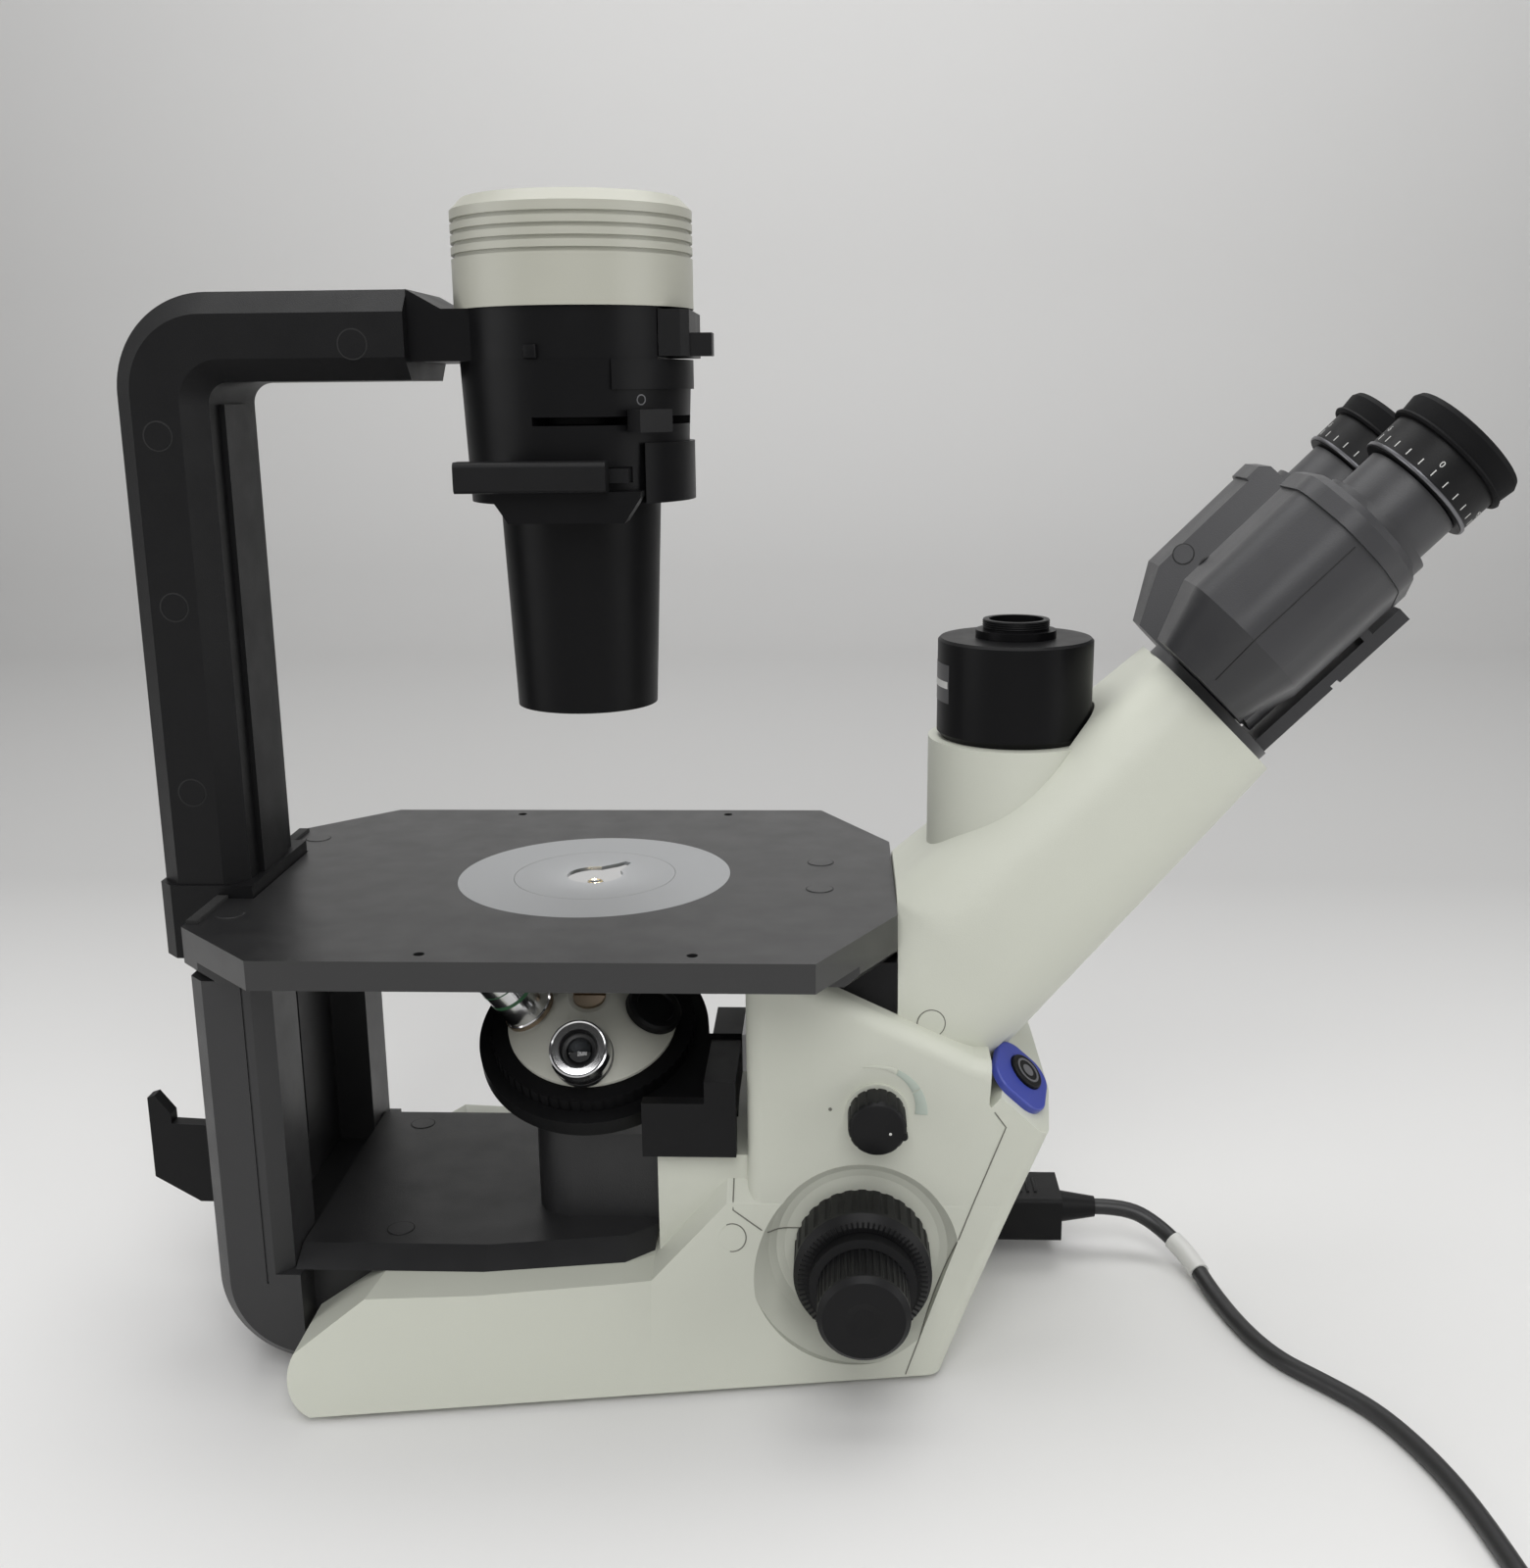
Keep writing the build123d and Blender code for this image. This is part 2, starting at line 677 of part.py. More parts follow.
with BuildPart() as base_cover:
    cover_front = RAMP_START - GAP
    for height, inset in ((LEDGE_HEIGHT, 0), (COVER_HEIGHT, COVER_BEVEL)):
        with BuildSketch(PLAN.offset(height)):
            with BuildLine():
                Polyline(
                    (COVER_REAR, 0),
                    (COVER_REAR, COVER_HALF - inset),
                    (COVER_BEND, COVER_HALF - inset),
                    (COVER_TURN, COVER_TURN_HALF - inset),
                    (cover_front, COVER_TIP_HALF - inset),
                    (cover_front, 0),
                )
                mirror(about=Plane.XZ)
            make_face()
    loft(ruled=True)
    with BuildSketch(PLAN.offset(COVER_HEIGHT)):
        with BuildLine():
            Polyline(
                (TOWER_REAR, -TOWER_HALF),
                (FOOT_BLOCK_REAR - GAP, -TOWER_HALF),
                (FOOT_BLOCK_REAR - GAP, TOWER_HALF),
                (TOWER_REAR, TOWER_HALF),
                close=True,
            )
        make_face()
        fillet(vertices().group_by(Axis.X)[0], TOWER_ROUND)
    extrude(amount=TOWER_TOP - COVER_HEIGHT)
    disc(PLAN, LIGHT_HOLE, LEDGE_HEIGHT, TOWER_TOP, mode=Mode.SUBTRACT)
    block(
        (TOWER_REAR + 6, FOOT_BLOCK_REAR - 8),
        (-TOWER_HALF + 8, TOWER_HALF - 8),
        (LEDGE_HEIGHT, TOWER_TOP - 6),
        mode=Mode.SUBTRACT,
    )
finish(base_cover, "base_cover")

with BuildPart() as fold_mirror:
    mirror_points = [
        (TOWER_REAR + 7, 2 * FRAME_LOW),
        (FOOT_BLOCK_REAR - 9, 2 * FRAME_LOW),
        (TOWER_REAR + 7, 2 * FRAME_LOW + FOOT_BLOCK_REAR - TOWER_REAR - 16),
    ]
    prism(SIDE, mirror_points, TOWER_HALF - 10, both=True)
finish(fold_mirror, "fold_mirror")

# Upright covers

bezel_plane = Plane(
    origin=(AXIS_X + BEZEL_X, BEZEL_Y, BEZEL_Z),
    x_dir=(0.74, 0, -0.67),
    z_dir=BEZEL_NORMAL,
)
button_plane = Plane(
    origin=bezel_plane.from_local_coords((BUTTON_U, BUTTON_W, 0)),
    x_dir=bezel_plane.x_dir,
    z_dir=bezel_plane.z_dir,
)

with BuildPart() as bezel_room:
    with BuildSketch(bezel_plane.offset(-BEZEL_THICKNESS)):
        with Locations((BEZEL_SHIFT_U, BEZEL_SHIFT_W)):
            RectangleRounded(BEZEL_LENGTH, BEZEL_WIDTH, BEZEL_ROUND)
    extrude(amount=BEZEL_LENGTH)

with BuildPart() as cover_pair:
    add(body_form.part)
    add(upright_form.part)
    block(
        (FOOT_BLOCK_REAR, BODY_REAR + 2),
        (-FOOT_BLOCK_HALF, FOOT_BLOCK_HALF),
        (SEAM_HEIGHT - 5, FOOT_BLOCK_TOP),
    )
    add(base_zone.part, mode=Mode.SUBTRACT)
    add(front_zone.part, mode=Mode.SUBTRACT)
    add(tube_form.part)
    add(cavity.part, mode=Mode.SUBTRACT)
    add(drive_holes.part, mode=Mode.SUBTRACT)
    add(carriage_slot.part, mode=Mode.SUBTRACT)
    add(inlet_form.part, mode=Mode.SUBTRACT)
    add(bezel_room.part, mode=Mode.SUBTRACT)
    boss = cross_plane(DIMMER_X, DIMMER_Z)
    disc(boss, DIMMER_BOSS, BODY_HALF - 1, BODY_HALF + DIMMER_BOSS_HEIGHT)
    disc(boss, DIMMER_STEM + SHAFT_PLAY, BODY_HALF - 2 * BODY_WALL, BODY_HALF + 2, mode=Mode.SUBTRACT)

with BuildPart() as left_cover:
    add(cover_pair.part)
    split(bisect_by=Plane.XZ, keep=Keep.TOP)
finish(left_cover, "left_cover")

with BuildPart() as right_cover:
    add(cover_pair.part)
    split(bisect_by=Plane.XZ, keep=Keep.BOTTOM)
finish(right_cover, "right_cover")

with BuildPart() as front_cover:
    add(body_form.part)
    add(upright_form.part)
    add(front_zone.part, mode=Mode.INTERSECT)
    with BuildSketch(bezel_plane.offset(-BEZEL_THICKNESS)):
        Rectangle(10 * BEZEL_LENGTH, 3 * BEZEL_WIDTH)
    extrude(amount=2 * BEZEL_LENGTH, mode=Mode.SUBTRACT)
    with BuildSketch(TUBE.offset(-TUBE_LENGTH)):
        Rectangle(3 * BODY_HALF, 2 * TUBE_LOW_HALF_DEPTH + 2 * GAP)
    with BuildSketch(TUBE):
        Rectangle(3 * BODY_HALF, 2 * TUBE_END_HALF_DEPTH + 2 * GAP)
    loft(mode=Mode.SUBTRACT)
    add(cavity.part, mode=Mode.SUBTRACT)
    disc(button_plane, BUTTON_RADIUS + GAP, -BUTTON_DEPTH - 3, 0, mode=Mode.SUBTRACT)
    add(inlet_form.part, mode=Mode.SUBTRACT)
finish(front_cover, "front_cover")

with BuildPart() as switch_bezel:
    with BuildSketch(bezel_plane.offset(-BEZEL_THICKNESS)):
        with Locations((BEZEL_SHIFT_U, BEZEL_SHIFT_W)):
            RectangleRounded(BEZEL_LENGTH, BEZEL_WIDTH, BEZEL_ROUND)
    extrude(amount=BEZEL_THICKNESS)
    fillet(faces().sort_by(Axis(bezel_plane.origin, bezel_plane.z_dir))[-1].edges(), 1)
    disc(button_plane, BUTTON_RADIUS + GAP, -BEZEL_THICKNESS, 0, mode=Mode.SUBTRACT)
finish(switch_bezel, "switch_bezel")

with BuildPart() as power_button:
    disc(button_plane, BUTTON_RADIUS, -BUTTON_DEPTH, BUTTON_PROUD)
    fillet(faces().sort_by(Axis(bezel_plane.origin, bezel_plane.z_dir))[-1].edges(), 0.8)
finish(power_button, "power_button")

with BuildPart() as dimmer_knob:
    dimmer = cross_plane(DIMMER_X, DIMMER_Z)
    dimmer_low = BODY_HALF + DIMMER_BOSS_HEIGHT + GAP
    disc(dimmer, DIMMER_RADIUS, dimmer_low, dimmer_low + DIMMER_LENGTH)
    fillet(faces().sort_by(Axis.Y)[0].edges(), 1)
    disc(dimmer, DIMMER_STEM, BODY_HALF - BODY_WALL, dimmer_low)
finish(dimmer_knob, "dimmer_knob")

# Focus drive

focus = cross_plane(FOCUS_X, FOCUS_Z)
coarse_low = BODY_HALF - SCOOP_DEPTH + 2 * GAP
coarse_high = coarse_low + COARSE_LENGTH

with BuildPart() as focus_shaft:
    lathe(focus, [
        (FINE_SHAFT + SHAFT_PLAY, -coarse_high),
        (COARSE_SHAFT, -coarse_high),
        (COARSE_SHAFT, coarse_high),
        (FINE_SHAFT + SHAFT_PLAY, coarse_high),
    ])
    lathe(focus, [
        (FINE_SHAFT + SHAFT_PLAY, -PINION_LENGTH / 2),
        (PINION_RADIUS, -PINION_LENGTH / 2),
        (PINION_RADIUS, PINION_LENGTH / 2),
        (FINE_SHAFT + SHAFT_PLAY, PINION_LENGTH / 2),
    ])
finish(focus_shaft, "focus_shaft")

with BuildPart() as fine_shaft:
    disc(focus, FINE_SHAFT, -KNOB_TIP + 4, KNOB_TIP - 4)
finish(fine_shaft, "fine_shaft")

for side_name, way in (("left", 1), ("right", -1)):
    with BuildPart() as coarse_knob:
        lathe(focus, [
            (COARSE_SHAFT, way * coarse_low),
            (COARSE_RADIUS - 3, way * coarse_low),
            (COARSE_RADIUS, way * (coarse_low + 3)),
            (COARSE_RADIUS, way * (coarse_high - 4)),
            (COARSE_RADIUS - 4, way * coarse_high),
            (COARSE_SHAFT, way * coarse_high),
        ])
        with BuildSketch(focus.offset(way * coarse_low)):
            with PolarLocations(COARSE_RADIUS + FLUTE_RADIUS / 2, COARSE_FLUTES):
                Circle(FLUTE_RADIUS)
        extrude(amount=way * (COARSE_LENGTH - 6), mode=Mode.SUBTRACT)
    finish(coarse_knob, f"{side_name}_coarse_knob")
    with BuildPart() as fine_knob:
        lathe(focus, [
            (FINE_SHAFT, way * (coarse_high + GAP)),
            (FINE_RADIUS + 3, way * (coarse_high + GAP)),
            (FINE_RADIUS + 3, way * (coarse_high + 5)),
            (FINE_RADIUS, way * (coarse_high + 6)),
            (FINE_RADIUS, way * (KNOB_TIP - 2)),
            (FINE_RADIUS - 2, way * KNOB_TIP),
            (7, way * KNOB_TIP),
            (4, way * (KNOB_TIP - 1)),
            (0, way * (KNOB_TIP - 1)),
            (0, way * (KNOB_TIP - 4)),
            (FINE_SHAFT, way * (KNOB_TIP - 4)),
        ])
        with BuildSketch(focus.offset(way * (coarse_high + 6))):
            with PolarLocations(FINE_RADIUS + FLUTE_RADIUS / 4, FINE_FLUTES):
                Circle(FLUTE_RADIUS / 1.6)
        extrude(amount=way * (FINE_LENGTH - 1), mode=Mode.SUBTRACT)
    finish(fine_knob, f"{side_name}_fine_knob")

with BuildPart() as guide_rods:
    for side_y in (-ROD_Y, ROD_Y):
        disc(Plane(origin=(AXIS_X + ROD_X, side_y, 0)), ROD_RADIUS, rod_low, ROD_TOP)
finish(guide_rods, "guide_rods")

with BuildPart() as rod_bridge:
    bridge_half = BODY_HALF - BODY_WALL
    block(
        (ROD_X - BRIDGE_DEPTH, ROD_X + BRIDGE_DEPTH),
        (-bridge_half, bridge_half),
        (ROD_TOP - BRIDGE_HEIGHT, ROD_TOP),
    )
    for side_y in (-ROD_Y, ROD_Y):
        bridge_plane = Plane(origin=(AXIS_X + ROD_X, side_y, 0))
        disc(bridge_plane, ROD_RADIUS, ROD_TOP - 2 * BRIDGE_HEIGHT, ROD_TOP + 1, mode=Mode.SUBTRACT)
finish(rod_bridge, "rod_bridge")

with BuildPart() as focus_carriage:
    rack_face = FOCUS_X - PINION_RADIUS - GAP
    nose = ROD_X + 2 * ROD_RADIUS
    block((CARRIAGE_REAR, nose), (-CARRIAGE_HALF, CARRIAGE_HALF), (CARRIAGE_LOW, CARRIAGE_TOP))
    rack_height = (FOCUS_Z - RACK_REACH, CARRIAGE_TOP - RACK_REACH)
    block((nose - 2, rack_face), (-PINION_LENGTH / 2, PINION_LENGTH / 2), rack_height)
    block((SLIDE_PLATE_FRONT, CARRIAGE_REAR), (-NECK_HALF, NECK_HALF), (NECK_LOW, NECK_TOP))
    for side_y in (-ROD_Y, ROD_Y):
        sleeve_plane = Plane(origin=(AXIS_X + ROD_X, side_y, 0))
        disc(sleeve_plane, ROD_RADIUS + SHAFT_PLAY, CARRIAGE_LOW, CARRIAGE_TOP, mode=Mode.SUBTRACT)
finish(focus_carriage, "focus_carriage")

# Nosepiece

slope = tan(TURN)
station_height = SHOULDER_DISTANCE * cos(TURN)
station_circle = SHOULDER_DISTANCE * sin(TURN)
cone_tip = station_height + station_circle * slope
cap_flat = cone_tip - (CAP_RADIUS + 2) * slope


def station_plane(turn):
    """A plane on one objective seat, its normal along that objective."""
    seat = TURRET.rotated((0, 0, 0))
    spin = radians(turn)
    along = (
        seat.z_dir * cos(TURN)
        + seat.y_dir * (sin(TURN) * cos(spin))
        + seat.x_dir * (sin(TURN) * sin(spin))
    )
    return Plane(origin=seat.origin + along * SHOULDER_DISTANCE, x_dir=seat.x_dir, z_dir=along)


with BuildPart() as turret:
    lathe(TURRET, [
        (PIVOT_RADIUS + SHAFT_PLAY, TURRET_FLOOR),
        (TURRET_RADIUS, TURRET_FLOOR),
        (TURRET_RADIUS, cone_tip - TURRET_RADIUS * slope),
        (CAP_RADIUS + 2, cap_flat),
        (PIVOT_RADIUS + SHAFT_PLAY, cap_flat),
    ])
    for turn in (0, 90, 180, 270):
        disc(station_plane(turn), STATION_RADIUS, -SHOULDER_DISTANCE / 2, 5, mode=Mode.SUBTRACT)
finish(turret, "turret")

with BuildPart() as turret_grip:
    with BuildSketch(TURRET.offset(GRIP_LOW)):
        Circle(GRIP_RADIUS)
        with PolarLocations(GRIP_RADIUS, GRIP_FLUTES):
            RegularPolygon(0.9, 3, mode=Mode.SUBTRACT)
        Circle(TURRET_RADIUS, mode=Mode.SUBTRACT)
    extrude(amount=GRIP_HEIGHT)
finish(turret_grip, "turret_grip")

with BuildPart() as turret_cap:
    disc(TURRET, CAP_RADIUS, cap_flat, CAP_TOP)
    with BuildSketch(TURRET.offset(CAP_TOP)):
        Rectangle(2 * CAP_RADIUS, 1.2)
    extrude(amount=-1, mode=Mode.SUBTRACT)
finish(turret_cap, "turret_cap")

objective_shapes = {
    "objective_in_use": (0, [(0, 0), (11, 0), (11, 3), (12, 3.5), (12, 24), (8, 29), (5.5, 31),
                             (3.4, 36), (0, 36)]),
    "objective_long": (270, [(0, 0), (10.5, 0), (10.5, 2), (10, 2.5), (10, 26), (8, 31), (6.5, 33), (0, 33)]),
    "objective_low": (180, [(0, 0), (10, 0), (12, 2), (12, 12), (11, 16), (7.5, 16), (7, 13), (0, 12)]),
    "turret_plug": (90, [(0, 0), (11.5, 0), (11.5, 3), (10.5, 4), (8, 4), (7.5, 3), (0, 3)]),
}
for name, (turn, profile) in objective_shapes.items():
    with BuildPart() as objective:
        lathe(station_plane(turn), profile)
        disc(station_plane(turn), STATION_RADIUS, -4, 0)
    finish(objective, name)

with BuildPart() as nosepiece_bracket:
    bracket_low = TURRET_FLOOR - GAP - BRACKET_THICKNESS
    with BuildSketch(TURRET.offset(bracket_low)):
        Circle(BRACKET_RADIUS)
        with Locations((SLIDE_PLATE_FRONT / 2, -BRACKET_RADIUS / 2 + 4)):
            Rectangle(SLIDE_PLATE_FRONT, BRACKET_RADIUS - 10)
    extrude(amount=BRACKET_THICKNESS)
    lathe(TURRET, [
        (0, bracket_low - BRACKET_SKIRT),
        (BRACKET_RADIUS - BRACKET_BEVEL, bracket_low - BRACKET_SKIRT),
        (BRACKET_RADIUS, bracket_low - BRACKET_SKIRT + BRACKET_BEVEL),
        (BRACKET_RADIUS, bracket_low + BRACKET_THICKNESS),
        (0, bracket_low + BRACKET_THICKNESS),
    ])
    disc(PLAN, LIGHT_HOLE, TURRET_APEX, STAGE_BOTTOM, mode=Mode.SUBTRACT)
    disc(TURRET, PIVOT_RADIUS, bracket_low, cap_flat - GAP)
    plate_outer = FOOT_BLOCK_HALF + GAP + SLIDE_PLATE_THICKNESS
    block(
        (SLIDE_PLATE_REAR, SLIDE_PLATE_FRONT),
        (-plate_outer, -FOOT_BLOCK_HALF - GAP),
        (SLIDE_PLATE_LOW, SLIDE_PLATE_TOP),
    )
    block(
        (SLIDE_PLATE_FRONT - 12, SLIDE_PLATE_FRONT),
        (-plate_outer, NECK_HALF),
        (NECK_LOW, NECK_TOP),
    )
finish(nosepiece_bracket, "nosepiece_bracket")

# Stage

with BuildPart() as stage_plate:
    notch_half = COLUMN_HALF + 1.5
    notch_front = COLUMN_FRONT + ARM_COVER_THICKNESS + 2
    with BuildSketch(PLAN.offset(STAGE_BOTTOM)):
        with BuildLine():
            Polyline(
                (notch_front, 0),
                (notch_front, notch_half),
                (STAGE_REAR, notch_half),
                (STAGE_REAR, STAGE_REAR_HALF),
                (STAGE_REAR_CORNER, STAGE_HALF),
                (STAGE_FRONT_CORNER, STAGE_HALF),
                (STAGE_FRONT, STAGE_FRONT_HALF),
                (STAGE_FRONT, 0),
            )
            mirror(about=Plane.XZ)
        make_face()
    extrude(amount=STAGE_THICKNESS)
    outer_low = edges().group_by(Axis.Z)[0].filter_by(lambda edge: abs(edge.center().Y) > notch_half + 1)
    chamfer(outer_low, STAGE_BEVEL)
    disc(PLAN, INSERT_RADIUS - INSERT_LEDGE, STAGE_BOTTOM - 1, STAGE_TOP, mode=Mode.SUBTRACT)
    seat_radius = INSERT_RADIUS + SEAT_PLAY
    disc(PLAN, seat_radius, STAGE_TOP - INSERT_THICKNESS, STAGE_TOP, mode=Mode.SUBTRACT)
    with BuildSketch(PLAN.offset(STAGE_TOP)):
        with GridLocations(2 * STAGE_HOLE_X, 2 * STAGE_HOLE_Y, 2, 2):
            Circle(STAGE_HOLE_RADIUS)
    extrude(amount=-STAGE_THICKNESS, mode=Mode.SUBTRACT)
finish(stage_plate, "stage_plate")

with BuildPart() as stage_insert:
    with BuildSketch(PLAN.offset(STAGE_TOP - INSERT_THICKNESS)):
        Circle(INSERT_RADIUS)
        Circle(INSERT_RING_RADIUS, mode=Mode.SUBTRACT)
    extrude(amount=INSERT_THICKNESS)
    with BuildSketch(PLAN.offset(STAGE_TOP - INSERT_THICKNESS)):
        Circle(INSERT_RING_RADIUS + 2.5)
        Circle(INSERT_RING_RADIUS - 2, mode=Mode.SUBTRACT)
    extrude(amount=INSERT_THICKNESS / 2)
finish(stage_insert, "stage_insert")

with BuildPart() as insert_ring:
    with BuildSketch(PLAN.offset(STAGE_TOP - INSERT_THICKNESS / 2)):
        Circle(INSERT_RING_RADIUS - SEAT_PLAY)
        Circle(PEAR_RADIUS, mode=Mode.SUBTRACT)
        with BuildLine():
            Polyline(*PEAR_SPOUT, close=True)
        make_face(mode=Mode.SUBTRACT)
    extrude(amount=INSERT_THICKNESS / 2)
finish(insert_ring, "insert_ring")

with BuildPart() as stage_support:
    ridge_slope = (STAGE_BOTTOM - RIDGE_LOW) / (RIDGE_FRONT - RIDGE_REAR)
    support_front = TUBE_START_X - GAP
    support_points = [
        (RIDGE_REAR + 2, STAGE_BOTTOM),
        (RIDGE_REAR + 2, STAGE_BOTTOM - 2 * ridge_slope),
        (support_front, STAGE_BOTTOM - (support_front - RIDGE_REAR) * ridge_slope),
        (support_front, STAGE_BOTTOM),
    ]
    prism(SIDE, support_points, STAGE_FRONT_HALF, both=True)
finish(stage_support, "stage_support")

# Rear frame, column and arm

with BuildPart() as rear_frame:
    with BuildSketch(SIDE):
        with BuildLine():
            Polyline(
                (LEG_FRONT, STAGE_BOTTOM),
                (LEG_REAR, STAGE_BOTTOM),
                (LEG_REAR, FRAME_LOW),
                (FRAME_FOOT_FRONT, FRAME_LOW),
                (FRAME_FOOT_FRONT, LEDGE_HEIGHT),
                (LEG_FRONT, LEDGE_HEIGHT),
                close=True,
            )
        make_face()
        fillet(vertices().sort_by_distance((LEG_REAR, FRAME_LOW, 0))[0], LEG_ROUND)
    extrude(amount=LEG_OUTER, both=True)
    leg_edges = edges().filter_by(Axis.Z).group_by(Axis.X)[0]
    chamfer(leg_edges, LEG_CHAMFER)
    leg_front_edges = edges().filter_by(Axis.Z).filter_by_position(Axis.Z, LEDGE_HEIGHT + 20, STAGE_TOP)
    chamfer(leg_front_edges.group_by(Axis.X)[-1], LEG_CHAMFER)
    foot_span = (BASE_REAR - GAP, FRAME_FOOT_FRONT + 1)
    for way in (-1, 1):
        outer_span = sorted((way * FRAME_FOOT_HALF, way * 2 * LEG_OUTER))
        block(foot_span, outer_span, (0, STAGE_TOP), mode=Mode.SUBTRACT)
    block(
        (LEG_REAR + BACK_WALL, LEG_FRONT + 1),
        (-LEG_INNER, LEG_INNER),
        (LEDGE_HEIGHT, STAGE_BOTTOM),
        mode=Mode.SUBTRACT,
    )
    block((LEG_REAR - 1, LEG_FRONT), (-LEG_INNER, LEG_INNER), (BLOCK_LOW, STAGE_BOTTOM), mode=Mode.SUBTRACT)
    for way in (-1, 1):
        seam_span = sorted((way * (LEG_OUTER - LEG_SEAM_DEPTH), way * (LEG_OUTER + 1)))
        seam_place = (LEG_SEAM, LEG_SEAM + LEG_SEAM_WIDTH)
        block(seam_place, seam_span, (LEDGE_HEIGHT - 4, STAGE_BOTTOM + 1), mode=Mode.SUBTRACT)
    slot_height = BLOCK_LOW - LEDGE_HEIGHT - BLOCK_SPARE
    slot_plane = Plane(
        origin=(AXIS_X + LEG_REAR, 0, (BLOCK_LOW + LEDGE_HEIGHT) / 2),
        x_dir=(0, 1, 0),
        z_dir=(1, 0, 0),
    )
    with BuildSketch(slot_plane):
        SlotOverall(slot_height, BACK_SLOT, rotation=90)
    extrude(amount=BACK_WALL, mode=Mode.SUBTRACT)
finish(rear_frame, "rear_frame")

with BuildPart() as column_base:
    block(
        (COLUMN_REAR - 1, COLUMN_FRONT + ARM_COVER_THICKNESS + 1.5),
        (-COLUMN_HALF - 1, COLUMN_HALF + 1),
        (BLOCK_LOW, BLOCK_TOP),
    )
    chamfer(edges().filter_by(Axis.Z).group_by(Axis.X)[0], LEG_CHAMFER)
finish(column_base, "column_base")

with BuildPart() as cord_hook:
    hook_points = [
        (LEG_REAR, HOOK_LOW),
        (LEG_REAR, HOOK_LOW + HOOK_STEM),
        (HOOK_REAR + HOOK_PRONG, HOOK_LOW + HOOK_STEM + 1.5),
        (HOOK_REAR + HOOK_PRONG, HOOK_TOP - 7),
        (HOOK_REAR + HOOK_PRONG / 3, HOOK_TOP + 1),
        (HOOK_REAR, HOOK_TOP),
        (HOOK_REAR, HOOK_LOW + HOOK_STEM / 3),
        (HOOK_REAR + HOOK_SLANT, HOOK_LOW),
    ]
    hook_plane = Plane(origin=(AXIS_X, HOOK_Y, 0), x_dir=(1, 0, 0), z_dir=(0, -1, 0))
    prism(hook_plane, hook_points, HOOK_THICKNESS / 2, both=True)
finish(cord_hook, "cord_hook")

with BuildPart() as arm:
    with BuildSketch(SIDE):
        with BuildLine():
            Polyline(
                (COLUMN_REAR, BLOCK_TOP),
                (COLUMN_FRONT, BLOCK_TOP),
                (COLUMN_FRONT, ARM_LOW),
                (ARM_END, ARM_LOW),
                (ARM_END, ARM_TOP),
                (COLUMN_REAR, ARM_TOP),
                close=True,
            )
        make_face()
        fillet(vertices().sort_by_distance((COLUMN_REAR, ARM_TOP, 0))[0], ARM_OUTER_ROUND)
        fillet(vertices().sort_by_distance((COLUMN_FRONT, ARM_LOW, 0))[0], ARM_INNER_ROUND)
    extrude(amount=COLUMN_HALF, both=True)
    flank_edges = faces().filter_by(Axis.Y).edges()
    foot_edges = faces().filter_by(Axis.Z).sort_by(Axis.Z)[0].edges()
    end_edges = foot_edges + faces().sort_by(Axis.X)[-1].edges()
    chamfer([edge for edge in flank_edges if edge not in end_edges], ARM_CHAMFER)
finish(arm, "arm")

with BuildPart() as arm_cover:
    block(
        (COLUMN_FRONT, COLUMN_FRONT + ARM_COVER_THICKNESS),
        (-ARM_COVER_HALF, ARM_COVER_HALF),
        (BLOCK_TOP, ARM_LOW - ARM_INNER_ROUND),
    )
finish(arm_cover, "arm_cover")

# Lamp and condenser

with BuildPart() as lamp_house:
    bevel_start = LAMP_TOP - LAMP_BEVEL
    ribs = [(LAMP_RADIUS, LAMP_LOW)]
    for index in reversed(range(GROOVE_COUNT)):
        groove_low = LAMP_TOP - GROOVE_DROP - index * GROOVE_PITCH - GROOVE_WIDTH
        ribs.append((LAMP_RADIUS, groove_low))
        ribs.append((LAMP_RADIUS - GROOVE_DEPTH, groove_low))
        ribs.append((LAMP_RADIUS - GROOVE_DEPTH, groove_low + GROOVE_WIDTH))
        ribs.append((LAMP_RADIUS, groove_low + GROOVE_WIDTH))
    roof = [
        (LAMP_RADIUS, bevel_start),
        (LAMP_RADIUS - LAMP_BEVEL, LAMP_TOP),
        (0, LAMP_TOP),
        (0, bevel_start),
        (LAMP_RADIUS - LAMP_WALL, bevel_start),
        (LAMP_RADIUS - LAMP_WALL, LAMP_LOW),
    ]
    lathe(PLAN, ribs + roof)
finish(lamp_house, "lamp_house")

with BuildPart() as led_board:
    lathe(PLAN, [
        (0, bevel_start),
        (LAMP_RADIUS - LAMP_WALL - SEAT_PLAY, bevel_start),
        (LAMP_RADIUS - LAMP_WALL - SEAT_PLAY, bevel_start - LED_BOARD),
        (LED_RADIUS, bevel_start - LED_BOARD),
        (LED_RADIUS / 2, bevel_start - 2 * LED_BOARD),
        (0, bevel_start - 2 * LED_BOARD),
    ])
finish(led_board, "led_board")

